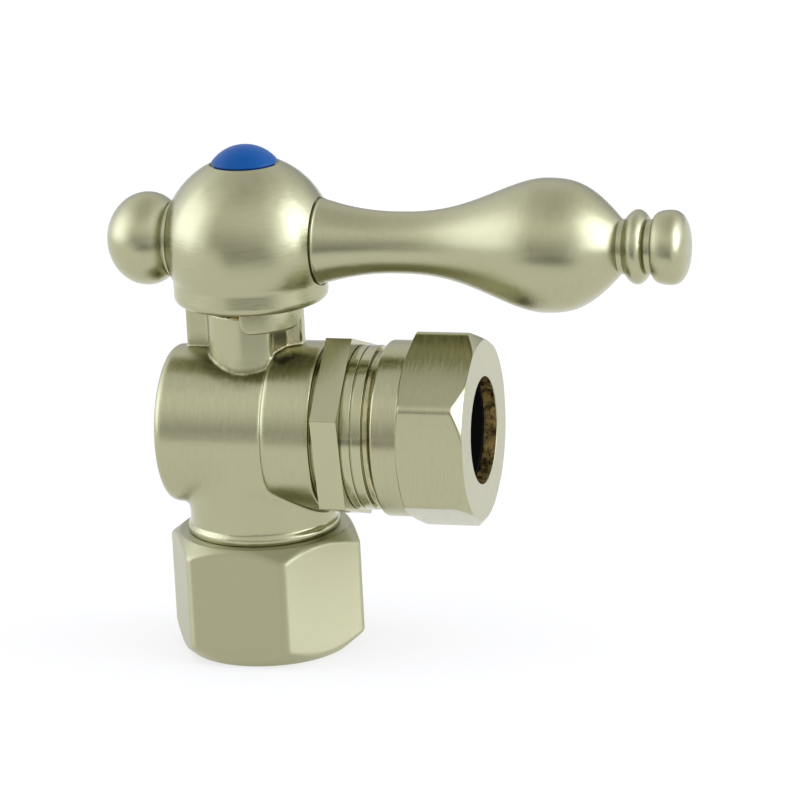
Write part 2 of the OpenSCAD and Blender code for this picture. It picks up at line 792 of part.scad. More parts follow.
// Domed button with a plug in the hub's well
module index_button() {
    dome_r = (pow(button_r, 2) + pow(button_h, 2)) / (2 * button_h);
    base_z = hub_rim_z - button_seat;
    color(index_blue) {
        translate([0, 0, base_z]) cylinder(r = button_r, h = button_seat);
        intersection() {
            translate([0, 0, hub_rim_z + button_h - dome_r]) sphere(r = dome_r);
            translate([0, 0, hub_rim_z - button_seat / 2]) cylinder(r = button_r, h = button_h + past);
        }
        translate([0, 0, base_z - plug_l]) cylinder(r = well_r - fit_clear, h = plug_l + button_seat / 2);
    }
}

valve_body();
inner_seat();
valve_ball();
outlet_seat();
outlet_adapter();
adapter_o_ring();
inlet_ferrule();
inlet_nut();
slip_washer();
friction_ring();
slip_nut();
stem();
stem_thrust_washer();
stem_o_ring_lower();
stem_o_ring_upper();
handle_hub();
lever();
finial_ball();
handle_screw();
screw_lock_washer();
index_button();
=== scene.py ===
from functools import partial
from math import acos, atan2, ceil, cos, degrees, hypot, pi, radians, sin, sqrt, tan

import bmesh
import bpy
from bpy.props import FloatProperty, FloatVectorProperty, PointerProperty
from mathutils import Matrix, Vector


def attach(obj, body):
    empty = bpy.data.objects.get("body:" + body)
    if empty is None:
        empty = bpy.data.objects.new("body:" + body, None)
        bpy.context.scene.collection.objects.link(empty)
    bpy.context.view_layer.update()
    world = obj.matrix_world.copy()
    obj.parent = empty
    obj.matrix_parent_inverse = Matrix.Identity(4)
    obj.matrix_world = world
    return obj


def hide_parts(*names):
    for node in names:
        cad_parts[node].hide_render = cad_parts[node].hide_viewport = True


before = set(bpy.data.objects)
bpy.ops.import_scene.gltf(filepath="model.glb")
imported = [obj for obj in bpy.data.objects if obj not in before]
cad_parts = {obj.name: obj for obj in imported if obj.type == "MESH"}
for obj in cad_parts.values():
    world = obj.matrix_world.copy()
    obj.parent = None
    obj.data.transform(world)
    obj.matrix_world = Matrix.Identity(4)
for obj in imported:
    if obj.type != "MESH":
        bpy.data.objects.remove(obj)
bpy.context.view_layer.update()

bl_info = {
    "name": "Angle stop valve",
    "version": (1, 0, 0),
    "blender": (4, 5, 0),
    "location": "View3D > Sidebar > Valve",
    "description": "Dresses the packed angle stop valve with plated, brushed and threaded pieces",
    "category": "Object",
}

MM = 0.001

# Heights, distances along the axes and radii in mm, as in the part's source where it has them too
ORIGIN = (0.0, 0.0, 0.0)
OUTLET_Z = 28.4
OUTLET_AXIS = (0.0, 0.0, OUTLET_Z)
BARREL_R = 9.85
COLLAR_R = 10.6
COLLAR_FACE = 9.3
NECK_R = 9.15
NECK_FOOT = 15.27
BOSS_R = 5.7
BOSS_TOP = 43.5
TUBE_R = 6.45
WATERWAY_R = 4.5
SPIGOT_END = 24.35
SLIP_START = 17.1
SLIP_INNER = 27.2
SLIP_END = 28.85
STEM_TOP = 50.9
HUB_Z = 44.9
HUB_WEB_Z = 54.5
HUB_RIM_Z = 61.77
BUTTON_SEAT = HUB_RIM_Z - 0.4
LEVER_Z = 52.0
LEVER_AXIS = (0.0, 0.0, LEVER_Z)
LEVER_SEAT = 8.853
FINIAL_SEAT = 9.303
SEAT_GAP = 0.3
THREAD_PITCH = 1.27
THREAD_DEPTH = 0.45
THREAD_LAND = 0.2
THREAD_STEPS = 12
THREAD_STEP = THREAD_PITCH / THREAD_STEPS
SEGMENTS = 288
TINY = 1e-6

# Angles round an axis: the front, from a hexagon's flat to its corner, and the cut beside the tab
FRONT = 270
TO_CORNER = 30
HALF_SIDE = radians(TO_CORNER)
RELIEF_TURN = radians(58)


def math_operator(operation, swapped=False):
    """A method that adds a Math node, with its inputs swapped for a reflected form."""
    def method(self, other):
        first, second = (other, self) if swapped else (self, other)
        return self.graph.node("ShaderNodeMath", {"operation": operation}, {0: first, 1: second})
    return method


class Value:
    """A node's output. Expressions on it add Math nodes to its tree."""

    def __init__(self, graph, socket):
        self.graph = graph
        self.socket = socket

    def math(self, operation, *others):
        return self.graph.node("ShaderNodeMath", {"operation": operation}, dict(enumerate((self, *others))))

    def clamped(self, low=0.0, high=1.0):
        return self.math("MAXIMUM", low).math("MINIMUM", high)

    def other(self, name):
        """Another output of the same node."""
        return Value(self.graph, self.socket.node.outputs[name])

    __add__ = math_operator("ADD")
    __radd__ = math_operator("ADD", swapped=True)
    __sub__ = math_operator("SUBTRACT")
    __rsub__ = math_operator("SUBTRACT", swapped=True)
    __mul__ = math_operator("MULTIPLY")
    __rmul__ = math_operator("MULTIPLY", swapped=True)
    __truediv__ = math_operator("DIVIDE")
    __rtruediv__ = math_operator("DIVIDE", swapped=True)
    __lt__ = math_operator("LESS_THAN")
    __gt__ = math_operator("GREATER_THAN")

    def __neg__(self):
        return self * -1.0

    def __abs__(self):
        return self.math("ABSOLUTE")


def length(*values):
    """Length of a vector from its parts."""
    total = values[0] * values[0]
    for value in values[1:]:
        total = total + value * value
    return total.math("SQRT")


class Graph:
    """A node tree that is filled from Python expressions."""

    def __init__(self, tree):
        self.tree = tree

    def node(self, kind, settings=None, values=None, out=None):
        """Adds a node: its settings first, then the values or links of its sockets, by name or number."""
        node = self.tree.nodes.new(kind)
        for key, setting in (settings or {}).items():
            if key == "stops":
                self.stops(node.color_ramp, setting)
            else:
                setattr(node, key, setting)
        for key, value in (values or {}).items():
            self.feed(self.find(node.inputs, key), value)
        if not node.outputs:
            return node
        return Value(self, self.find(node.outputs, 0 if out is None else out))

    @staticmethod
    def find(sockets, key):
        shown = [socket for socket in sockets if socket.enabled]
        if isinstance(key, int):
            return shown[key]
        return next(socket for socket in shown if socket.name == key)

    @staticmethod
    def stops(ramp, stops):
        while len(ramp.elements) < len(stops):
            ramp.elements.new(0.5)
        for element, (place, colour) in zip(ramp.elements, stops):
            element.position = place
            element.color = colour

    def feed(self, socket, value):
        if isinstance(value, Value):
            self.tree.links.new(value.socket, socket)
        else:
            socket.default_value = value

    def vector(self, x, y, z):
        return self.node("ShaderNodeCombineXYZ", {}, {0: x, 1: y, 2: z})

    def parts(self, vector):
        x = self.node("ShaderNodeSeparateXYZ", {}, {0: vector})
        return x, x.other("Y"), x.other("Z")

    def vmath(self, operation, *values):
        return self.node("ShaderNodeVectorMath", {"operation": operation}, dict(enumerate(values)))

    def scaled(self, vector, factor):
        return self.node("ShaderNodeVectorMath", {"operation": "SCALE"}, {"Vector": vector, "Scale": factor})

    def dot(self, first, second):
        return self.vmath("DOT_PRODUCT", first, second).other("Value")

    def mix(self, factor, first, second):
        """Colour between two colours."""
        return self.node("ShaderNodeMix", {"data_type": "RGBA"}, {"Factor": factor, "A": first, "B": second})

    def noise(self, vector, scale, detail, roughness=0.5):
        return self.node("ShaderNodeTexNoise", {},
                         {"Vector": vector, "Scale": scale, "Detail": detail, "Roughness": roughness})

    def bump(self, height, strength, distance):
        return self.node("ShaderNodeBump", {}, {"Strength": strength, "Distance": distance, "Height": height})

    def stored(self, geometry, name, value):
        """The geometry with a value kept at each of its points."""
        return self.node("GeometryNodeStoreNamedAttribute", {"data_type": "FLOAT", "domain": "POINT"},
                         {"Geometry": geometry, "Name": name, "Value": value})

    def painted(self, name):
        """A value that was kept at the points of the piece."""
        return self.node("ShaderNodeAttribute", {"attribute_name": name}, out="Fac")

    def surface(self, shader):
        self.node("ShaderNodeOutputMaterial", {}, {"Surface": shader})


GEOMETRY = ("Geometry", "Geometry")


def new_tree(name, inputs, output=GEOMETRY):
    """A Geometry Nodes tree with named inputs and an output, and the values that come from the inputs."""
    tree = bpy.data.node_groups.new(name, "GeometryNodeTree")
    for way, (label, kind) in [("OUTPUT", output)] + [("INPUT", socket) for socket in inputs]:
        tree.interface.new_socket(label, in_out=way, socket_type="NodeSocket" + kind)
    graph = Graph(tree)
    first = graph.node("NodeGroupInput")
    return graph, {label: first.other(label) for label, _ in inputs}


def end_tree(graph, geometry, material):
    """Ends a tree in plain geometry with its material."""
    real = graph.node("GeometryNodeRealizeInstances", {}, {"Geometry": geometry})
    dressed = graph.node("GeometryNodeSetMaterial", {}, {"Geometry": real, "Material": material})
    graph.node("NodeGroupOutput", {}, {"Geometry": dressed})


def kept(known, make, name, *values, **options):
    """The tree or finish of that name, made when it is first asked for."""
    return known.get(name) or make(name, *values, **options)


def turned_tree(name):
    """Turns an outline into a closed ring of walls, with hexagon flats and threads where the outline says."""
    graph, given = new_tree(name, [
        GEOMETRY, ("Segments", "Int"), ("Crowding", "Float"), ("Across Flats", "Float"), ("Corner Turn", "Float"),
        ("Corner Rounding", "Float"), ("Edge Softness", "Float"), ("Pitch", "Float"), ("Depth", "Float"),
        ("Tilt", "Vector"), ("Place", "Vector"), ("Material", "Material"),
    ])
    outline = given["Geometry"]
    segments = given["Segments"]
    across = segments + 1
    count = graph.node("GeometryNodeAttributeDomainSize", {"component": "MESH"}, {"Geometry": outline})
    grid = graph.node("GeometryNodeMeshGrid", {}, {"Vertices X": count + 1, "Vertices Y": across})
    index = graph.node("GeometryNodeInputIndex")
    row = (index / across).math("FLOOR")
    column = index - row * across
    # The first row comes again as the last, and the quarter keeps a rounded index in its row
    source = row - count * (row > count - 0.5) + 0.25

    def sampled(field, kind="FLOAT"):
        return graph.node("GeometryNodeSampleIndex", {"data_type": kind, "domain": "POINT"},
                          {"Geometry": outline, "Value": field, "Index": source})

    def named(label):
        return sampled(graph.node("GeometryNodeInputNamedAttribute", {"data_type": "FLOAT"}, {"Name": label}))

    radius, _, height = graph.parts(sampled(graph.node("GeometryNodeInputPosition"), "FLOAT_VECTOR"))
    turn = column / segments * 6
    whole = turn.math("FLOOR")
    side = (turn - whole) * 2 - 1
    bent = side * (given["Crowding"] + (1 - given["Crowding"]) * side * side)
    off_corner = abs(bent * HALF_SIDE)
    angle = (whole + 0.5) * (2 * HALF_SIDE) + bent * HALF_SIDE + given["Corner Turn"]

    flat_r = given["Across Flats"] / 2
    rounding = given["Corner Rounding"]
    centre = (flat_r - rounding) / cos(HALF_SIDE)
    end_angle = (rounding / 2).math("ARCTAN2", centre + rounding * cos(HALF_SIDE))
    flat = flat_r / (HALF_SIDE - off_corner).math("COSINE")
    across_centre = centre * off_corner.math("SINE")
    arc_room = (rounding * rounding - across_centre * across_centre).math("MAXIMUM", 0.0)
    arc = centre * off_corner.math("COSINE") + arc_room.math("SQRT")
    on_corner = off_corner < end_angle
    hexagon = flat + (arc - flat) * on_corner
    hexed = named("hexed")
    soft = radius.math("SMOOTH_MIN", hexagon, given["Edge Softness"])
    shaped = radius + (soft - radius) * hexed

    turns = height / given["Pitch"] - angle / (2 * pi)
    tooth = abs(turns.math("FRACT") - 0.5) * 2
    crest = ((tooth - THREAD_LAND) / (1 - 2 * THREAD_LAND)).clamped()
    cut = shaped - named("threaded") * given["Depth"] * (1 - crest)

    flat_place = graph.vector(cut * angle.math("COSINE"), cut * angle.math("SINE"), height)
    turned = graph.node("ShaderNodeVectorRotate", {"rotation_type": "EULER_XYZ"},
                        {"Vector": flat_place, "Rotation": given["Tilt"]})
    place = graph.scaled(graph.vmath("ADD", turned, given["Place"]), MM)
    for label in ("bare", "edge"):
        grid = graph.stored(grid, label, named(label))
    moved = graph.node("GeometryNodeSetPosition", {}, {"Geometry": grid, "Position": place})
    closed = graph.node("GeometryNodeMergeByDistance", {}, {"Geometry": moved, "Distance": TINY})
    end_tree(graph, closed, given["Material"])
    return graph.tree


def depth_tree(name):
    """Depth of a point inside the forged body, in mm: above nought inside, below nought outside."""
    graph, given = new_tree(name, [("Position", "Vector")], ("Depth", "Float"))
    x, y, height = graph.parts(given["Position"])
    z = height - OUTLET_Z

    def block(edge, *reaches):
        """Rounded block from the amounts by which a point passes each of its faces."""
        beyond = [reach + edge for reach in reaches]
        outside = length(*(value.math("MAXIMUM", 0.0) for value in beyond))
        inside = beyond[0]
        for value in beyond[1:]:
            inside = inside.math("MAXIMUM", value)
        return outside + inside.math("MINIMUM", 0.0) - edge

    def between(value, low, high):
        return abs(value - (low + high) / 2) - (high - low) / 2

    def join(first, second, fillet):
        return first.math("SMOOTH_MIN", second, fillet)

    def cut(shape, tool, edge):
        return shape.math("SMOOTH_MAX", -tool, edge)

    from_outlet = length(y, z)
    from_stem = length(x, y)
    barrel_back, lip_r, lip_top = -10.85, 9.45, 16.3 - OUTLET_Z
    neck_foot, boss_top, lug_top = NECK_FOOT - OUTLET_Z, BOSS_TOP - OUTLET_Z, 15.8
    barrel = block(1.1, from_outlet - BARREL_R, between(x, barrel_back, 8.0))
    collar = block(0.7, from_outlet - COLLAR_R, between(x, 3.0, COLLAR_FACE))
    collar_rim = block(0.3, from_outlet - COLLAR_R, between(x, 5.0, COLLAR_FACE))
    neck = block(0.3, from_stem - NECK_R, between(z, neck_foot, -1.5))
    lip = block(0.28, from_stem - lip_r, between(z, neck_foot, lip_top))
    boss = block(0.15, from_stem - BOSS_R, between(z, 0.0, boss_top))
    back_lug = block(0.25, between(x, -8.7, -4.5), between(y, -0.21, 1.99), between(z, 0.0, lug_top))
    front_lug = block(0.6, between(x, 4.0, 6.4), between(y, -0.94, 1.26), between(z, 0.0, lug_top))
    shape = join(barrel, join(neck, lip, 0.6), 1.3)
    shape = join(shape, collar.math("MINIMUM", collar_rim), 0.3)
    top = join(join(boss, back_lug, 0.4), front_lug, 0.7)
    outward = x * sin(RELIEF_TURN) - y * cos(RELIEF_TURN)
    aside = x * cos(RELIEF_TURN) + y * sin(RELIEF_TURN)
    relief = block(1.0, between(outward, 4.8, 9.0), between(aside, -1.9, 1.9), between(z, 9.2, 18.0))
    shape = join(shape, cut(top, relief, 0.8), 0.35)
    tight, bore_edge = 0.05, 0.15
    ball_bore = block(0.2, from_outlet - 7.6, between(x, -7.7, 7.0))
    adapter_bore = block(tight, from_outlet - 8.55, between(x, 6.6, 12.0))
    waterway = block(tight, from_stem - WATERWAY_R, between(z, -16.0, 0.0))
    stem_bore = block(tight, from_stem - 3.55, between(z, 0.0, 18.0))
    flange_bore = block(tight, from_stem - 4.7, between(z, 0.0, 9.45))
    for bore in (ball_bore, adapter_bore, waterway, stem_bore, flange_bore):
        shape = cut(shape, bore, bore_edge)
    graph.node("NodeGroupOutput", {}, {"Depth": -shape})
    return graph.tree


def forged_depth(graph, position):
    tree = kept(bpy.data.node_groups, depth_tree, "Forged depth")
    return graph.node("GeometryNodeGroup", {"node_tree": tree}, {"Position": position})


def forged_tree(name):
    """Fills the forged body's space with its depth, takes the skin and settles it on the true surface."""
    graph, given = new_tree(name, [GEOMETRY, ("Low", "Vector"), ("High", "Vector"), ("Voxel", "Float"),
                                   ("Bare Height", "Float"), ("Material", "Material")])
    position = graph.node("GeometryNodeInputPosition")
    span = graph.vmath("SUBTRACT", given["High"], given["Low"])
    counts = [(part / given["Voxel"]).math("CEIL") + 1 for part in graph.parts(span)]
    deepest = 2.0
    filled = graph.node("GeometryNodeVolumeCube", {}, {
        "Density": forged_depth(graph, position).clamped(-deepest, deepest), "Background": -deepest,
        "Min": given["Low"], "Max": given["High"],
        "Resolution X": counts[0], "Resolution Y": counts[1], "Resolution Z": counts[2],
    })
    skin = graph.node("GeometryNodeVolumeToMesh", {"resolution_mode": "GRID"},
                      {"Volume": filled, "Threshold": 0.0, "Adaptivity": 0.0})
    for _ in range(2):
        skin = settled(graph, position, skin)
    up = graph.parts(graph.node("GeometryNodeInputNormal"))[2]
    x, y, high = graph.parts(position)
    # Painted shade: the ring where the boss meets the top of the barrel is marked for a dark brown painted into
    # that crease
    shade_width, shade_height, barrel_top = 2.0, 0.6, OUTLET_Z + 6.0
    beside = (1 - (length(x, y) - BOSS_R) / shade_width).clamped()
    close = (1 - (length(y, high - OUTLET_Z) - BARREL_R) / shade_height).clamped()
    painted_shade = beside * close * (high > barrel_top)
    outward = graph.dot(position, (sin(RELIEF_TURN), -cos(RELIEF_TURN), 0.0))
    aside = graph.dot(position, (cos(RELIEF_TURN), sin(RELIEF_TURN), 0.0))
    relief = (outward > 4.4) * (outward < 5.35) * (abs(aside) < 2.1) * (high > OUTLET_Z + 9.4)
    level, relief_bare = 0.8, 0.2
    bare = ((up > level) * (high > given["Bare Height"])).math("MAXIMUM", relief * relief_bare)
    marked = graph.stored(graph.stored(skin, "bare", bare), "soil", painted_shade)
    sized = graph.node("GeometryNodeSetPosition", {},
                       {"Geometry": marked, "Position": graph.scaled(position, MM)})
    end_tree(graph, sized, given["Material"])
    return graph.tree


def settled(graph, position, skin):
    """Moves each point of the skin along the slope of the depth on to the surface."""
    reach, furthest = 0.03, 0.3
    total = slope = None
    for step in ((1, -1, -1), (-1, -1, 1), (-1, 1, -1), (1, 1, 1)):
        near = graph.vmath("ADD", position, tuple(reach * part for part in step))
        depth = forged_depth(graph, near)
        pull = graph.scaled(step, depth)
        total = depth if total is None else total + depth
        slope = pull if slope is None else graph.vmath("ADD", slope, pull)
    inward = graph.vmath("NORMALIZE", slope)
    shift = graph.scaled(inward, (total / -4).clamped(-furthest, furthest))
    return graph.node("GeometryNodeSetPosition", {}, {"Geometry": skin, "Offset": shift})


def plain_mesh(piece):
    """Turns a piece's evaluated shape into its own plain mesh and removes its modifiers."""
    bpy.context.view_layer.update()
    depsgraph = bpy.context.evaluated_depsgraph_get()
    shape = bpy.data.meshes.new_from_object(piece.evaluated_get(depsgraph), preserve_all_data_layers=True,
                                            depsgraph=depsgraph)
    piece.modifiers.clear()
    old = piece.data
    piece.data = shape
    shape.name = piece.name
    bpy.data.meshes.remove(old)


def tidy_mesh(piece, sharp):
    """Removes empty faces and loose points, turns the faces outwards and smooths all but the sharp edges."""
    mesh = piece.data
    work = bmesh.new()
    work.from_mesh(mesh)
    bmesh.ops.dissolve_degenerate(work, dist=1e-7, edges=work.edges)
    loose = [vert for vert in work.verts if not vert.link_faces]
    bmesh.ops.delete(work, geom=loose, context="VERTS")
    if work.calc_volume(signed=True) < 0:
        bmesh.ops.reverse_faces(work, faces=work.faces)
    work.to_mesh(mesh)
    work.free()
    if not mesh.polygons:
        raise RuntimeError(piece.name + " came out empty")
    mesh.shade_smooth()
    mesh.set_sharp_from_angle(angle=radians(sharp))


def new_piece(name, points=(), faces=()):
    mesh = bpy.data.meshes.new(name)
    mesh.from_pydata(points, [], faces)
    piece = bpy.data.objects.new(name, mesh)
    bpy.context.scene.collection.objects.link(piece)
    return piece


def run_tree(piece, make, name, values):
    """Gives a piece a Geometry Nodes modifier with its inputs set, and keeps the result as a plain mesh."""
    tree = kept(bpy.data.node_groups, make, name)
    modifier = piece.modifiers.new("Shape", "NODES")
    modifier.node_group = tree
    for item in tree.interface.items_tree:
        if item.in_out == "INPUT" and item.name in values:
            modifier[item.identifier] = values[item.name]
    plain_mesh(piece)


NEARLY_STRAIGHT = radians(178)
LONGEST_SHARE = 0.45
SUPPORT = 0.12
HEXED = ("hex", "cone", "face")
BARE = {"bare": 1.0, "tapped": 1.0, "worn": 0.18}
CUT = {"thread": 1.0, "worn": 1.0, "tapped": -1.0}
WALL_STEP = {"hex": 0.8, "cone": 0.11, "face": 1.0, **dict.fromkeys(CUT, THREAD_STEP)}


def shares(steps, first=1):
    return [i / steps for i in range(first, steps + 1)]


def rounded_corner(before, corner, after, rounding, steps=5):
    """Points of a rounding between two straight walls, or the corner itself."""
    if not rounding:
        return [corner]
    point = Vector(corner)
    first = Vector(before) - point
    second = Vector(after) - point
    opening = first.angle(second)
    if opening > NEARLY_STRAIGHT:
        return [corner]
    reach = min(rounding / tan(opening / 2), LONGEST_SHARE * first.length, LONGEST_SHARE * second.length)
    radius = reach * tan(opening / 2)
    first, second = first.normalized(), second.normalized()
    start = point + first * reach
    end = point + second * reach
    centre = point + (first + second).normalized() * (radius / sin(opening / 2))
    low = atan2(start.y - centre.y, start.x - centre.x)
    span = (atan2(end.y - centre.y, end.x - centre.x) - low + pi) % (2 * pi) - pi
    angles = [low + span * i / steps for i in range(steps + 1)]
    return [(centre.x + radius * cos(angle), centre.y + radius * sin(angle)) for angle in angles]


def wall_points(start, end, tag):
    """Points between two corners: a support near each end, and steps where the wall is shaped further."""
    size = hypot(end[0] - start[0], end[1] - start[1])
    along = set()
    if size > 5 * SUPPORT:
        along |= {SUPPORT / size, 1 - SUPPORT / size}
    if tag in WALL_STEP:
        along |= set(shares(max(1, ceil(size / WALL_STEP[tag])))[:-1])
    return [(start[0] + (end[0] - start[0]) * t, start[1] + (end[1] - start[1]) * t) for t in sorted(along)]


def outline_points(corners):
    """Closed outline from corners of radius and height in mm.

    A corner may also have a rounding and a tag for the wall after it: hex, cone and face walls are met by
    the hexagon, thread, worn and tapped walls get a thread, and bare, worn and tapped walls show the metal
    under the plating.
    """
    full = [tuple(corner) + (0.0, "")[len(corner) - 2:] for corner in corners]
    total = len(full)
    bends = []
    for i, (r, h, rounding, _) in enumerate(full):
        before = full[i - 1][:2]
        after = full[(i + 1) % total][:2]
        bends.append(rounded_corner(before, (r, h), after, rounding))
    points = []
    for i, bend in enumerate(bends):
        tag = full[i][3]
        last = full[i - 1][3]
        hexed = float(tag in HEXED or last in HEXED)
        bare = BARE.get(tag, 0.0)
        edge = float(len(bend) > 1)
        points += [(r, h, hexed, 0.0, bare, edge) for r, h in bend]
        wall = wall_points(bend[-1], bends[(i + 1) % total][0], tag)
        for place, (r, h) in enumerate(wall):
            fade = min(1.0, (place + 1) / THREAD_STEPS, (len(wall) - place) / THREAD_STEPS)
            points.append((r, h, float(tag in HEXED), CUT.get(tag, 0.0) * fade, bare, 0.0))
    return points


ALONG_Z = ORIGIN
ALONG_X = (0.0, pi / 2, 0.0)
AGAINST_X = (0.0, -pi / 2, 0.0)


def turned_piece(name, corners, finish, tilt=ALONG_Z, place=ORIGIN, across_flats=100.0, turn=0.0,
                 rounding=0.5, softness=0.25, crowding=1.0, sharp=40, segments=SEGMENTS):
    """A turned piece from its outline, in place and with its finish."""
    points = outline_points(corners)
    piece = new_piece(name, [(point[0], 0.0, point[1]) for point in points])
    for column, label in enumerate(("hexed", "threaded", "bare", "edge"), start=2):
        layer = piece.data.attributes.new(label, "FLOAT", "POINT")
        layer.data.foreach_set("value", [point[column] for point in points])
    run_tree(piece, turned_tree, "Turned piece", {
        "Segments": segments, "Crowding": crowding, "Across Flats": across_flats, "Corner Turn": radians(turn),
        "Corner Rounding": rounding, "Edge Softness": softness, "Pitch": THREAD_PITCH, "Depth": THREAD_DEPTH,
        "Tilt": tilt, "Place": place, "Material": finish,
    })
    tidy_mesh(piece, sharp)
    return piece


def arc_points(centre, radius, first, last, steps):
    """Outline corners along an arc, angles in degrees from the radius towards the height."""
    angles = [radians(first + (last - first) * i / steps) for i in range(steps + 1)]
    return [(centre[0] + radius * cos(a), centre[1] + radius * sin(a)) for a in angles]


def hand_over(piece, body, slot, *nodes):
    """Lets a finished piece move with its body and stand for its nodes."""
    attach(piece, body)
    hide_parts(*nodes)


def finish_graph(name):
    material = bpy.data.materials.new(name)
    material.use_nodes = True
    material.node_tree.nodes.clear()
    return material, Graph(material.node_tree)


def toned(colour, factor, blue=None):
    """A colour made darker or lighter, with another factor for its blue where one is given."""
    factors = (factor, factor, blue or factor)
    return tuple(min(1.0, part * by) for part, by in zip(colour, factors)) + (1.0,)


def brushed(graph, grain, x, y, z):
    """Coordinates that stretch a noise into brush marks: round an axis, or level all round."""
    fine, long, climb, level = 4000.0, 5.0, 0.6, 20.0
    if grain == "round Z":
        r = length(x, y) + TINY
        return graph.vector(x / r * long, y / r * long, (z + r * climb) * fine)
    if grain == "round X":
        r = length(y, z) + TINY
        return graph.vector((x + r * climb) * fine, y / r * long, z / r * long)
    return graph.vector(x * level, y * level, z * fine)


def plated(name, colour, brass, roughness, grain, centre=ORIGIN, marks=1.0, sheen=1.0, reach=None, stretch=0.0):
    """Nickel plate with brush marks, polished edges, a painted dark shade in the crease round the boss, and bare
    brass where the plate is cut away.

    Past its reach in mm from the outlet's axis, the plate is smooth. A stretch draws the gloss out along Z.
    """
    # The last colour is a dark brown painted shade, laid into the crease round the boss
    smooth_share, least_rough, painted_shade = 0.85, 0.08, (0.1, 0.072, 0.024, 1.0)
    material, graph = finish_graph(name)
    place = graph.node("ShaderNodeTexCoord", out="Object")
    x, y, z = graph.parts(graph.vmath("SUBTRACT", place, tuple(part * MM for part in centre)))
    if reach:
        brush = 1 - (length(y, z) / MM - reach).clamped() * smooth_share
        marks, sheen = brush * marks, brush * sheen
    vector = brushed(graph, grain, x, y, z)
    streak = graph.noise(vector, scale=1.0, detail=3.0, roughness=0.6) - 0.5
    scratch = graph.noise(vector, scale=12.0, detail=1.0) - 0.5
    cloud = graph.noise(place, scale=130.0, detail=3.0) - 0.5
    speck = graph.noise(place, scale=2600.0, detail=2.0) - 0.5
    stain = graph.noise(place, scale=900.0, detail=4.0, roughness=0.65)
    edge, bare, soil = (graph.painted(label) for label in ("edge", "bare", "soil"))
    # The weights say how far each noise changes the tone, the gloss and the relief
    tone = streak * (marks * 0.5) + cloud * 0.22 + 0.5
    plate = graph.mix(tone, toned(colour, 0.8, blue=0.74), toned(colour, 1.18))
    # Painted shade: the plate turns dark brown in the crease round the boss, mottled by the stain noise
    crease_shaded = graph.mix((stain - 0.2) * soil * 2.0, plate, painted_shade)
    raw = graph.mix((stain - 0.38) * 4.5 + speck * 0.8, toned(brass, 0.1), toned(brass, 1.0))
    rough = roughness + streak * (marks * 0.3) + cloud * 0.1 - edge * 0.08 + bare * 0.22
    height = streak * marks + scratch * sheen + speck * (bare * 1.4 + 0.04)
    graph.surface(graph.node("ShaderNodeBsdfPrincipled", {}, {
        "Base Color": graph.mix(bare, crease_shaded, raw), "Metallic": 1.0,
        "Roughness": rough.math("MAXIMUM", least_rough), "Anisotropic": stretch, "Anisotropic Rotation": 0.25,
        "Normal": graph.bump(height, strength=0.3, distance=0.06 * MM),
    }))
    return material


def moulded(name, colour, roughness, scale, depth, metallic=0.0, specular=0.5):
    """Moulded or machined finish with a fine grain in its colour, gloss and relief, to a depth in mm."""
    least_rough = 0.04
    material, graph = finish_graph(name)
    place = graph.node("ShaderNodeTexCoord", out="Object")
    grain = graph.noise(place, scale, detail=4.0)
    cloud = graph.noise(place, scale / 9, detail=2.0)
    rough = roughness + (grain - 0.5) * 0.16 + (cloud - 0.5) * 0.08
    graph.surface(graph.node("ShaderNodeBsdfPrincipled", {}, {
        "Base Color": graph.mix(grain * 0.5 + cloud * 0.5, toned(colour, 0.78), toned(colour, 1.15)),
        "Metallic": metallic, "Roughness": rough.math("MAXIMUM", least_rough), "Specular IOR Level": specular,
        "Normal": graph.bump(grain, strength=0.2, distance=depth * MM),
    }))
    return material


SizeProperty = partial(FloatProperty, unit="LENGTH")
AngleProperty = partial(FloatProperty, subtype="ANGLE")
ShareProperty = partial(FloatProperty, subtype="FACTOR")
ColourProperty = partial(FloatVectorProperty, subtype="COLOR")


class ValveSizes(bpy.types.PropertyGroup):
    """Sizes of the pieces that are seen, in metres."""
    inlet_nut_af: SizeProperty(
        name="Inlet nut", description="Width of the inlet nut across its flats", default=0.022)
    slip_nut_af: SizeProperty(name="Slip nut", description="Width of the slip nut across its flats", default=0.022)
    adapter_af: SizeProperty(name="Adapter", description="Width of the adapter across its flats", default=0.0211)
    hub_r: SizeProperty(name="Hub", description="Radius of the hub's ball", default=0.0106)
    lever_l: SizeProperty(name="Lever", description="Length of the lever from its seat to its tip", default=0.0465)
    bulb_r: SizeProperty(name="Lever bulb", description="Radius of the lever's bulb", default=0.0082)
    finial_r: SizeProperty(name="Finial", description="Radius of the finial's ball", default=0.00578)
    button_r: SizeProperty(name="Button", description="Radius of the index button", default=0.0041)
    voxel: SizeProperty(name="Body grid", description="Grid of the forged body's skin", default=0.00025)


class ValveFinishes(bpy.types.PropertyGroup):
    """Colours and gloss of the finishes."""
    nickel: ColourProperty(
        name="Satin nickel", description="Colour of the brushed plate", default=(0.43, 0.422, 0.272))
    bright: ColourProperty(
        name="Bright nickel", description="Colour of the turned bright plate", default=(0.455, 0.445, 0.29))
    brass: ColourProperty(name="Brass", description="Colour of bare brass", default=(0.74, 0.54, 0.21))
    button: ColourProperty(name="Button", description="Colour of the index button", default=(0.003, 0.08, 0.3))
    satin: ShareProperty(name="Satin roughness", description="Roughness of the brushed plate", default=0.19)
    shine: ShareProperty(name="Bright roughness", description="Roughness of the bright plate", default=0.14)


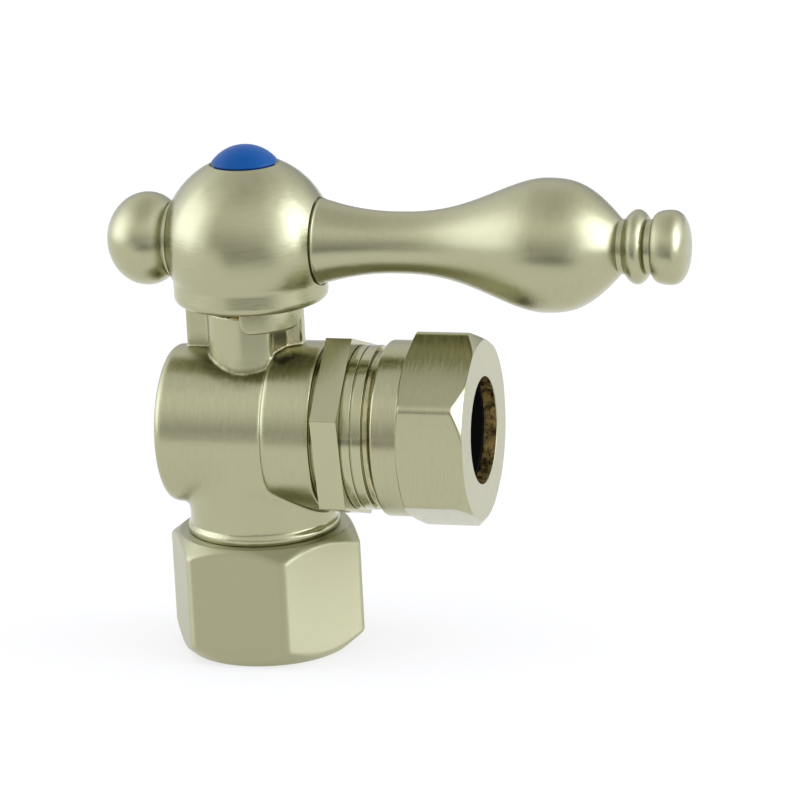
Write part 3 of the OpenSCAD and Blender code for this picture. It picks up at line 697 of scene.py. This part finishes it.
class ValveStage(bpy.types.PropertyGroup):
    """Camera and lights."""
    azimuth: AngleProperty(
        name="Azimuth", description="Camera's angle to the right of the front", default=radians(15.61))
    elevation: AngleProperty(
        name="Elevation", description="Camera's angle above the floor", default=radians(15.76))
    roll: AngleProperty(name="Roll", description="Camera's turn about its view", default=radians(-2.81))
    distance: SizeProperty(name="Distance", description="Camera's distance from its target", default=0.6126)
    target: FloatVectorProperty(
        name="Target", description="Point at the middle of the view", default=(0.01833, 0.0, 0.03197),
        subtype="TRANSLATION")
    lens: FloatProperty(name="Lens", description="Focal length in mm", default=223.8)
    left: FloatProperty(name="Left light", description="Brightness of the left panel", default=0.5)
    right: FloatProperty(name="Right light", description="Brightness of the right panel", default=0.9)
    left_glow: FloatProperty(
        name="Left glow", description="Brightness of the soft light round the left panel", default=1.6)
    right_glow: FloatProperty(
        name="Right glow", description="Brightness of the soft light round the right panel", default=3.1)


def sizes():
    return bpy.context.scene.valve_sizes


def finishes():
    return bpy.context.scene.valve_finishes


def satin(name, grain, centre=ORIGIN, marks=0.8, sheen=0.35, reach=None, stretch=0.0, roughness=None):
    """The brushed plate, with its marks run one way."""
    chosen = finishes()
    return kept(bpy.data.materials, plated, name, chosen.nickel, chosen.brass, roughness or chosen.satin, grain,
                centre, marks, sheen, reach, stretch)


def bright(name, roughness, grain, centre=ORIGIN, marks=0.3):
    """The bright plate of turned walls and threads."""
    chosen = finishes()
    return kept(bpy.data.materials, plated, name, chosen.bright, chosen.brass, roughness, grain, centre, marks,
                sheen=0.2)


def raw_brass():
    return kept(bpy.data.materials, moulded, "bare turned brass", finishes().brass, roughness=0.34, scale=1800.0,
                depth=0.04, metallic=1.0)


def black_rubber():
    return kept(bpy.data.materials, moulded, "black moulded rubber", (0.004, 0.004, 0.004), roughness=0.62,
                scale=1500.0, depth=0.03, specular=0.1)


class VALVE_OT_body(bpy.types.Operator):
    """Forged body with its soft fillets, stop lugs and threaded inlet end"""
    bl_idname = "valve.body"
    bl_label = "Body"

    def execute(self, context):
        finish = satin("satin nickel brushed round the barrel", "round X", OUTLET_AXIS, sheen=0.65,
                       reach=COLLAR_R + 0.1)
        body = new_piece("forged_body")
        run_tree(body, forged_tree, "Forged body", {
            "Low": (-12.2, -11.4, 14.8), "High": (10.1, 11.4, 45.4), "Voxel": sizes().voxel / MM,
            "Bare Height": BOSS_TOP - 0.3, "Material": finish,
        })
        tidy_mesh(body, sharp=55)
        hand_over(body, "body", "satin_nickel", "valve_body")
        thread_r, root_r, end, inside, shoulder = 8.73, 8.2, 7.35, 15.9, 15.35
        inlet = turned_piece("inlet_thread", [
            (TUBE_R, 8.5, 0.1), (7.6, end, 0.08), (8.23, end), (thread_r, 7.85, 0.0, "thread"), (thread_r, 14.9),
            (root_r, 15.15), (root_r, inside), (WATERWAY_R, inside), (WATERWAY_R, shoulder), (TUBE_R, shoulder),
        ], bright("nickel on threads", roughness=0.3, grain="round Z"))
        hand_over(inlet, "body", "satin_nickel", "valve_body")
        return {"FINISHED"}


class VALVE_OT_inlet(bpy.types.Operator):
    """Inlet nut: hexagon turned down to a round face at each end, tapped inside"""
    bl_idname = "valve.inlet"
    bl_label = "Inlet nut"

    def execute(self, context):
        wide, foot, top, height = 13.1, 10.1, 10.6, 15.25
        thread_r, hole_r = 8.81, 6.5
        level = satin("satin nickel brushed level", "level", marks=0.35, sheen=0.2, stretch=0.9, roughness=0.36)
        nut = turned_piece("inlet_hex_nut", [
            (foot, 0.0, 0.3, "cone"), (wide, (wide - foot) * 0.86, 0.0, "hex"),
            (wide, height - (wide - top) * 0.76, 0.0, "cone"), (top, height, 0.3),
            (9.3, height, 0.1), (thread_r, height - 0.5, 0.0, "tapped"), (thread_r, 4.31),
            (hole_r, 2.0, 0.0, "bare"), (hole_r, 0.3, 0.1), (hole_r + 0.3, 0.0, 0.1),
        ], level, across_flats=sizes().inlet_nut_af / MM, turn=FRONT - 360 + 26 - TO_CORNER, rounding=1.3,
            softness=0.7, crowding=0.4)
        hand_over(nut, "inlet_nut", "satin_nickel", "inlet_nut")
        return {"FINISHED"}


class VALVE_OT_outlet(bpy.types.Operator):
    """Outlet adapter with its two bands and thread, slip nut, friction ring and sealing washer"""
    bl_idname = "valve.outlet"
    bl_label = "Outlet"

    def execute(self, context):
        turned = bright("bright nickel turned", finishes().shine, "round X", OUTLET_AXIS, marks=0.35)
        start, hex_start, hex_end, shoulder, wide = 6.6, 9.95, 13.25, 14.35, 12.5
        plug_r, seal_r, step_r, band_r, thread_r = 8.5, 7.62, 9.65, 10.2, 9.5
        adapter = turned_piece("outlet_hex_adapter", [
            (WATERWAY_R, start), (plug_r, start, 0.1), (plug_r, 7.6, 0.1), (seal_r, 7.6), (seal_r, 8.8),
            (plug_r, 8.8, 0.1), (plug_r, COLLAR_FACE), (step_r, COLLAR_FACE, 0.05),
            (step_r, hex_start, 0.0, "face"), (wide, hex_start, 0.1, "hex"), (wide, hex_end, 0.1, "face"),
            (10.0, hex_end), (10.0, hex_end + 0.06), (band_r, hex_end + 0.1, 0.08), (band_r, 14.4, 0.12),
            (9.95, 14.44), (9.95, 14.55), (band_r, 14.6, 0.12), (band_r, 15.85, 0.15), (thread_r, 15.9, 0.1),
            (thread_r, 16.1, 0.0, "worn"), (thread_r, 23.85), (9.0, SPIGOT_END, 0.1), (7.45, SPIGOT_END, 0.1),
            (TUBE_R, 23.35), (TUBE_R, shoulder), (WATERWAY_R, shoulder),
        ], turned, ALONG_X, OUTLET_AXIS, across_flats=sizes().adapter_af / MM, turn=FRONT - 19 - TO_CORNER,
            rounding=0.3, softness=0.12, crowding=0.3)
        hand_over(adapter, "body", "polished_nickel", "outlet_adapter")

        wide, face, skirt, hole, thread_r, hex_start = 13.2, 11.15, 10.9, 6.63, 9.58, 20.4
        spun = satin("satin nickel spun on the outlet", "round X", OUTLET_AXIS, marks=1.2, sheen=0.45)
        nut = turned_piece("slip_hex_nut", [
            (9.9, SLIP_START, 0.1), (skirt, SLIP_START, 0.35), (skirt, hex_start, 0.05, "cone"),
            (wide, hex_start + (wide - skirt) * 0.4, 0.0, "hex"),
            (wide, SLIP_END - (wide - face) * 0.9, 0.0, "cone"), (face, SLIP_END, 0.25, "face"),
            (hole, SLIP_END, 0.12), (hole, SLIP_END - 0.2, 0.0, "bare"), (hole, SLIP_INNER, 0.0, "bare"),
            (thread_r, SLIP_INNER, 0.0, "tapped"), (thread_r, 17.4),
        ], spun, ALONG_X, OUTLET_AXIS, across_flats=sizes().slip_nut_af / MM, turn=FRONT - 27 - TO_CORNER,
            rounding=1.2, softness=0.3, crowding=0.4)
        hand_over(nut, "slip_nut", "satin_nickel", "slip_nut")

        inner, sleeve, rim = 6.95, 6.9, 9.28
        ring = turned_piece("friction_washer", [
            (inner, 26.45, 0.1), (rim, 26.45, 0.1), (rim, 27.15, 0.1), (inner, 27.15, 0.15),
        ], raw_brass(), ALONG_X, OUTLET_AXIS)
        hand_over(ring, "slip_washers", "raw_brass", "friction_ring")
        seal = turned_piece("sealing_washer", [
            (TUBE_R, 23.65, 0.05), (6.75, 23.65, 0.05), (7.15, SPIGOT_END, 0.1), (rim, SPIGOT_END, 0.15),
            (rim, 26.4, 0.15), (sleeve, 26.4, 0.05), (sleeve, 27.1, 0.05), (TUBE_R, 27.1, 0.1),
        ], black_rubber(), ALONG_X, OUTLET_AXIS)
        hand_over(seal, "slip_washers", "black_rubber", "slip_washer")
        return {"FINISHED"}


def cut_away(piece, tools):
    """Cuts closed tools out of a piece."""
    for tool in tools:
        modifier = piece.modifiers.new("Cut", "BOOLEAN")
        modifier.operation = "DIFFERENCE"
        modifier.solver = "EXACT"
        modifier.object = tool
    plain_mesh(piece)
    for tool in tools:
        mesh = tool.data
        bpy.data.objects.remove(tool)
        bpy.data.meshes.remove(mesh)


def lever_outline():
    """Outline of the lever, from its shank to its tip."""
    tip = LEVER_SEAT + sizes().lever_l / MM
    bulb_r = sizes().bulb_r / MM
    shank_r, shank_l, base_r, waist_r, groove_r, neck_r, bead_r = 2.5, 4.3, 5.35, 3.8, 3.5, 3.35, 4.55
    waist_x, bulb_x, neck_x, bead_l, edge = 9.9, 28.9, 38.0, 2.8, 0.45
    waist, bulb, neck = LEVER_SEAT + waist_x, LEVER_SEAT + bulb_x, LEVER_SEAT + neck_x
    first, second = neck + 0.7, neck + 4.2
    crown = second + (tip - second) * 0.46
    foot, inset_r = LEVER_SEAT - SEAT_GAP, base_r - edge - 0.2
    rise_power, fall_power, lean_power, bead_power, crown_power = 1.4, 1.35, 1.1, 0.7, 2.6
    points = [(0.0, LEVER_SEAT - shank_l), (shank_r, LEVER_SEAT - shank_l, 0.2), (shank_r, foot), (inset_r, foot),
              (inset_r, LEVER_SEAT)]
    points += arc_points((base_r - edge, LEVER_SEAT + edge + 0.18), edge, -75, 0, 8)
    long = shares(40)
    points += [(waist_r + (base_r - waist_r) * (1 - t) ** 2, waist - (waist_x - edge) * (1 - t)) for t in long]
    for t in long:
        rise = t ** rise_power
        swell = rise * rise * (3 - 2 * rise)
        points.append((waist_r + (bulb_r - waist_r) * swell, waist + (bulb_x - waist_x) * t))
    for t in long:
        swell = cos(pi / 2 * t ** fall_power)
        points.append((groove_r + (bulb_r - groove_r) * swell, bulb + (neck_x - bulb_x) * t))
    points.append((neck_r, neck + 0.1))
    for t in shares(24, 0):
        swell = sin(pi * t ** lean_power) ** bead_power
        points.append((neck_r + (bead_r - neck_r) * swell, first + bead_l * t))
    for t in shares(14, 0):
        swell = sin(pi / 2 * t) ** bead_power
        points.append((neck_r + (bead_r - neck_r) * swell, second + (crown - second) * (1 - cos(pi / 2 * t))))
    for t in shares(28)[:-1]:
        points.append((bead_r * (1 - t ** crown_power) ** (1 / crown_power), crown + (tip - crown) * t))
    flat_r, flat = points[-1]
    points += [(flat_r * (1 - t), tip - (tip - flat) * (1 - t) ** 2 * 0.8) for t in shares(12)[:-1]]
    return points + [(0.0, tip)]


def finial_outline():
    """Outline of the finial, from its shank to its crown."""
    radius = sizes().finial_r / MM
    shank_r, shank_l, ring_r, ring_l, groove, middle, reach = 1.8, 4.0, 4.6, 0.5, 0.25, 3.6, 5.05
    begin = ring_l + groove
    start = acos(ring_r / radius)
    points = [(0.0, -shank_l), (shank_r, -shank_l, 0.2), (shank_r, 0.0), (ring_r, 0.0, 0.08),
              (ring_r, ring_l, 0.08), (ring_r - groove, ring_l), (ring_r - groove, begin)]
    for t in shares(16, 0):
        turn = start * (1 - t)
        points.append((radius * cos(turn), begin + (middle - begin) * (1 - sin(turn) / sin(start))))
    points += [(radius * cos(pi / 2 * t), middle + reach * sin(pi / 2 * t)) for t in shares(32)[:-1]]
    points.append((0.0, middle + reach))
    return [(point[0], point[1] + FINIAL_SEAT, *point[2:]) for point in points]


def hub_outline():
    """Outline of the hub with its screw well and the button's seat."""
    ball_r = sizes().hub_r / MM
    skirt_r, edge, fillet, foot = 9.55, 1.0, 2.0, HUB_Z - 0.4
    screw_r, well_r, seat_r, hollow_r = 1.7, 3.6, 4.3, 7.2
    drop = sqrt((ball_r + fillet) ** 2 - (skirt_r + fillet) ** 2)
    meet = degrees(acos((skirt_r + fillet) / (ball_r + fillet)))
    rim = degrees(acos(seat_r / ball_r))
    points = [(screw_r, HUB_Z), (hollow_r, HUB_Z), (hollow_r + 0.2, foot)]
    points += arc_points((skirt_r - edge, foot + edge), edge, -90, 0, 12)
    points += arc_points((skirt_r + fillet, LEVER_Z - drop), fillet, 180, 180 - meet, 10)
    points += arc_points((0.0, LEVER_Z), ball_r, -meet, rim, 90)[1:]
    return points + [(seat_r, BUTTON_SEAT), (well_r, BUTTON_SEAT), (well_r, HUB_WEB_Z), (screw_r, HUB_WEB_Z)]


def button_outline():
    """Outline of the button: its plug, a thin gap and the dome."""
    radius, rise, lift = sizes().button_r / MM, 2.05, 0.15
    plug_r, plug_l, neck_r = 3.55, 1.8, 3.75
    dome = (radius ** 2 + rise ** 2) / (2 * rise)
    top = HUB_RIM_Z + lift + rise
    points = [(0.0, BUTTON_SEAT - plug_l), (plug_r, BUTTON_SEAT - plug_l, 0.2), (plug_r, BUTTON_SEAT),
              (neck_r, BUTTON_SEAT), (neck_r, HUB_RIM_Z - 0.1), (radius, HUB_RIM_Z + lift - 0.12, 0.1)]
    points += arc_points((0.0, top - dome), dome, degrees(acos(radius / dome)) + 2, 88, 40)
    return points + [(0.0, top)]


def seat_tool(name, tilt, finish, seat, foot, hole_r, pocket_r):
    """Tool that cuts a hole for a shank and the pocket round its seat."""
    past = 20.0
    return turned_piece(name, [
        (0.0, foot), (hole_r, foot), (hole_r, seat), (pocket_r, seat), (pocket_r, past), (0.0, past),
    ], finish, tilt, LEVER_AXIS, segments=180)


def socket_tool():
    """Tool that cuts the square hole for the stem."""
    half, low, high = 2.5 * MM, (HUB_Z - 2) * MM, (STEM_TOP + 0.05) * MM
    around = ((-half, -half), (half, -half), (half, half), (-half, half))
    return new_piece("socket_tool", [(x, y, z) for z in (low, high) for x, y in around], [
        (3, 2, 1, 0), (4, 5, 6, 7), (0, 1, 5, 4), (1, 2, 6, 5), (2, 3, 7, 6), (3, 0, 4, 7)])


def stop_tab(finish):
    """Curved tab under the hub, rounded along its lower edge and at its lower corners."""
    inner, outer, low, high, edge, soft = 6.0, 6.9, HUB_Z - 3.3, HUB_Z + 0.4, 0.4, 0.18
    near_corner, far_corner = 1.2, 2.2
    start, sweep, steps = -87, 77, 64
    reach = radians(sweep) * (inner + outer) / 2

    def rise(corner, from_end):
        return corner - sqrt(corner ** 2 - max(0.0, corner - from_end) ** 2)

    points = []
    for i in range(steps + 1):
        angle = radians(start + sweep * i / steps)
        foot = low + max(rise(near_corner, reach * i / steps), rise(far_corner, reach * (1 - i / steps)))
        section = [(inner, high), (inner, foot)] + arc_points((outer - edge, foot + edge), edge, -90, 0, 5)
        section.append((outer, high))
        points += [(r * cos(angle) * MM, r * sin(angle) * MM, h * MM) for r, h in section]
    size = len(section)
    faces = []
    for i in range(steps):
        for j in range(size):
            after = (j + 1) % size
            faces.append((i * size + j, i * size + after, (i + 1) * size + after, (i + 1) * size + j))
    faces += [tuple(range(size - 1, -1, -1)), tuple(range(steps * size, steps * size + size))]
    tab = new_piece("stop_tab", points, faces)
    tab.data.materials.append(finish)
    bevel = tab.modifiers.new("Soft edges", "BEVEL")
    bevel.width = soft * MM
    bevel.segments = 3
    bevel.limit_method = "ANGLE"
    bevel.angle_limit = radians(50)
    plain_mesh(tab)
    tidy_mesh(tab, sharp=40)
    return tab


class VALVE_OT_handle(bpy.types.Operator):
    """Hub with its stop tab, lever, finial and index button"""
    bl_idname = "valve.handle"
    bl_label = "Handle"

    def execute(self, context):
        spun = satin("satin nickel spun on the stem", "round Z", LEVER_AXIS, stretch=0.6, roughness=0.22)
        hub = turned_piece("ball_hub", hub_outline(), spun, segments=240)
        cut_away(hub, [
            seat_tool("lever_tool", ALONG_X, spun, LEVER_SEAT - SEAT_GAP, foot=4.35, hole_r=2.55, pocket_r=5.45),
            seat_tool("finial_tool", AGAINST_X, spun, FINIAL_SEAT, foot=5.1, hole_r=1.85, pocket_r=4.85),
            socket_tool(),
        ])
        tidy_mesh(hub, sharp=32)
        hand_over(hub, "handle", "satin_nickel", "handle_hub")
        hand_over(stop_tab(spun), "handle", "satin_nickel", "handle_hub")

        across = satin("satin nickel spun on the lever", "round X", LEVER_AXIS, sheen=0.65)
        lever = turned_piece("turned_lever", lever_outline(), across, ALONG_X, LEVER_AXIS, sharp=50, segments=192)
        hand_over(lever, "handle", "satin_nickel", "lever")
        finial = turned_piece("turned_finial", finial_outline(), across, AGAINST_X, LEVER_AXIS, segments=192)
        hand_over(finial, "handle", "satin_nickel", "finial_ball")

        blue = moulded("glossy blue index", finishes().button, roughness=0.3, scale=900.0, depth=0.01,
                       specular=0.15)
        button = turned_piece("domed_button", button_outline(), blue, segments=144)
        hand_over(button, "handle", "index_blue", "index_button")
        return {"FINISHED"}


class VALVE_OT_inner(bpy.types.Operator):
    """Finishes for the ball, seats, seals, stem and screw inside"""
    bl_idname = "valve.inner"
    bl_label = "Inner pieces"

    def execute(self, context):
        ptfe = moulded("waxy white seal", (0.82, 0.82, 0.78), roughness=0.42, scale=700.0, depth=0.02)
        zinc = moulded("zinc plate", (0.58, 0.58, 0.56), roughness=0.3, scale=1200.0, depth=0.02, metallic=1.0)
        ball = moulded("chromed ball", (0.62, 0.62, 0.6), roughness=0.1, scale=500.0, depth=0.004, metallic=1.0)
        groups = (
            (ptfe, ("inner_seat", "outlet_seat", "stem_thrust_washer")),
            (black_rubber(), ("adapter_o_ring", "stem_o_ring_lower", "stem_o_ring_upper")),
            (zinc, ("handle_screw", "screw_lock_washer")),
            (raw_brass(), ("inlet_ferrule", "stem")),
            (ball, ("valve_ball",)),
        )
        for finish, nodes in groups:
            for node in nodes:
                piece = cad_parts[node]
                if not piece.material_slots:
                    raise RuntimeError(node + " has no material slot")
                for slot in piece.material_slots:
                    slot.material = finish
        return {"FINISHED"}


# Angles of the lights to the right of the camera, the colour of their light, and the point they face
LEFT, RIGHT = radians(-97), radians(78)
COOL = (1.0, 1.04, 1.26)
LIT_POINT = Vector((0.01, 0.0, 0.035))


def aim(angle, height):
    """Direction at an angle to the right of the camera and a height over the table."""
    turn = bpy.context.scene.valve_stage.azimuth + angle
    return Vector((sin(turn) * cos(height), -cos(turn) * cos(height), sin(height)))


def panel_light(name, angle, width, brightness):
    """Soft panel that faces the valve, at an angle to the right of the camera."""
    height, distance, tall = radians(20), 0.7, 0.6
    place = aim(angle, height) * distance
    lamp = bpy.data.lights.new(name, "AREA")
    lamp.shape = "RECTANGLE"
    lamp.size = width
    lamp.size_y = tall
    lamp.energy = brightness * pi * width * tall
    lamp.color = COOL
    panel = bpy.data.objects.new(name, lamp)
    panel.location = LIT_POINT + place
    panel.rotation_euler = place.to_track_quat("Z", "Y").to_euler()
    bpy.context.scene.collection.objects.link(panel)


class VALVE_OT_stage(bpy.types.Operator):
    """White table, soft panels, world and camera"""
    bl_idname = "valve.stage"
    bl_label = "Stage"

    def execute(self, context):
        self.table()
        self.world()
        stage = context.scene.valve_stage
        panel_light("left panel", LEFT, width=0.55, brightness=stage.left)
        panel_light("right panel", RIGHT, width=0.45, brightness=stage.right)
        self.camera()
        context.scene.view_settings.view_transform = "Standard"
        return {"FINISHED"}

    def table(self):
        half, white, grey = 3.0, 0.65, 0.34
        corners = [(-half, -half, 0.0), (half, -half, 0.0), (half, half, 0.0), (-half, half, 0.0)]
        floor = new_piece("white_table", corners, [(0, 1, 2, 3)])
        material, graph = finish_graph("white table")
        path = graph.node("ShaderNodeLightPath", out="Is Camera Ray")
        seen = path.math("MAXIMUM", path.other("Is Glossy Ray")).math("MAXIMUM", path.other("Is Transmission Ray"))
        glow = graph.node("ShaderNodeEmission", {}, {"Color": (1.0, 1.0, 1.0, 1.0), "Strength": seen * white})
        matt = graph.node("ShaderNodeBsdfDiffuse", {}, {"Color": (grey, grey, grey, 1.0)})
        graph.surface(graph.node("ShaderNodeAddShader", {}, {0: glow, 1: matt}))
        floor.data.materials.append(material)
        self.card()

    def card(self):
        """Dark card on the table, out of the picture, that darkens the foot of the reflections."""
        near, far, height, fade = 0.125, 1.3, 0.001, 0.075
        pale, dark = (0.85, 0.85, 0.83, 1.0), (0.3, 0.3, 0.28, 1.0)
        reaches = ((-38, far), (22, far), (48, near), (-30, near))
        corners = [aim(radians(turn), 0.0) * reach for turn, reach in reaches]
        card = new_piece("dark_card", [(x, y, height) for x, y, _ in corners], [(0, 1, 2, 3)])
        material, graph = finish_graph("dark card")
        place = graph.node("ShaderNodeTexCoord", out="Object")
        away = graph.vmath("LENGTH", place).other("Value")
        shade = graph.mix((away - near) / fade, pale, dark)
        graph.surface(graph.node("ShaderNodeBsdfDiffuse", {}, {"Color": shade}))
        card.data.materials.append(material)
        card.visible_camera = card.visible_diffuse = card.visible_shadow = False

    def world(self):
        world = bpy.data.worlds.new("studio")
        bpy.context.scene.world = world
        world.use_nodes = True
        world.node_tree.nodes.clear()
        graph = Graph(world.node_tree)
        direction = graph.node("ShaderNodeTexCoord", out="Generated")
        up = graph.parts(direction)[2]
        front = graph.dot(direction, tuple(aim(0.0, 0.0)))
        aside = graph.dot(direction, tuple(aim(pi / 2, 0.0)))
        turn = aside.math("ARCTAN2", front)
        top_loss, front_gain, plain_level = 0.4, 0.14, 0.9
        levels = ((0.0, 0.48), (0.5, 0.48), (0.59, 0.6), (0.72, 0.88), (0.85, 1.0), (1.0, 0.72))
        stops = [(place, (level, level, level, 1.0)) for place, level in levels]
        shade = graph.node("ShaderNodeValToRGB", {"stops": stops}, {"Fac": up * 0.5 + 0.5})

        def glow(angle, height, tightness, edge, soft, behind):
            """Soft wall of light whose near edge stands at an angle from the camera."""
            near = graph.dot(direction, tuple(aim(angle, radians(height))))
            past = ((abs(turn) - radians(edge)) / radians(soft)).clamped()
            wall = ((near - 1) * tightness).math("EXPONENT") * (1 - up * top_loss)
            return wall * (past * (1 - behind) + behind)

        stage = bpy.context.scene.valve_stage
        left = glow(LEFT, height=6, tightness=3.3, edge=50, soft=12, behind=0.0) * stage.left_glow
        right = glow(RIGHT, height=3, tightness=5.0, edge=34, soft=14, behind=0.5) * stage.right_glow
        plain = graph.scaled(shade, front * front_gain + plain_level)
        whole = graph.vmath("ADD", plain, graph.scaled(COOL, left + right))
        light = graph.node("ShaderNodeBackground", {}, {"Color": whole, "Strength": 1.0})
        graph.node("ShaderNodeOutputWorld", {}, {"Surface": light})

    def camera(self):
        stage = bpy.context.scene.valve_stage
        roll = stage.roll
        back = aim(0.0, stage.elevation)
        level = aim(pi / 2, 0.0)
        upright = back.cross(level)
        right = level * cos(roll) + upright * sin(roll)
        up = upright * cos(roll) - level * sin(roll)
        lens = bpy.data.cameras.new("photo view")
        lens.lens = stage.lens
        lens.sensor_width = 36.0
        lens.clip_start = 10 * MM
        camera = bpy.data.objects.new("photo view", lens)
        turned = Matrix((right, up, back)).transposed().to_4x4()
        camera.matrix_world = Matrix.Translation(Vector(stage.target) + back * stage.distance) @ turned
        bpy.context.scene.collection.objects.link(camera)
        bpy.context.scene.camera = camera


class VALVE_PT_panel(bpy.types.Panel):
    """Buttons that build the valve, with its sizes, finishes and stage"""
    bl_label = "Angle stop valve"
    bl_idname = "VALVE_PT_panel"
    bl_space_type = "VIEW_3D"
    bl_region_type = "UI"
    bl_category = "Valve"

    def draw(self, context):
        layout = self.layout
        for item in OPERATORS:
            layout.operator(item.bl_idname)
        for group in (context.scene.valve_sizes, context.scene.valve_finishes, context.scene.valve_stage):
            box = layout.box()
            for name in group.__annotations__:
                box.prop(group, name)


OPERATORS = (VALVE_OT_body, VALVE_OT_inlet, VALVE_OT_outlet, VALVE_OT_handle, VALVE_OT_inner, VALVE_OT_stage)
GROUPS = {"valve_sizes": ValveSizes, "valve_finishes": ValveFinishes, "valve_stage": ValveStage}


def register():
    for item in (*GROUPS.values(), *OPERATORS, VALVE_PT_panel):
        bpy.utils.register_class(item)
    for name, group in GROUPS.items():
        setattr(bpy.types.Scene, name, PointerProperty(type=group))


def unregister():
    for name in GROUPS:
        delattr(bpy.types.Scene, name)
    for item in (VALVE_PT_panel, *reversed(OPERATORS), *reversed(tuple(GROUPS.values()))):
        bpy.utils.unregister_class(item)


def main():
    register()
    bpy.ops.valve.stage()
    bpy.ops.valve.body()
    bpy.ops.valve.inlet()
    bpy.ops.valve.outlet()
    bpy.ops.valve.handle()
    bpy.ops.valve.inner()


if __name__ == "__main__":
    main()
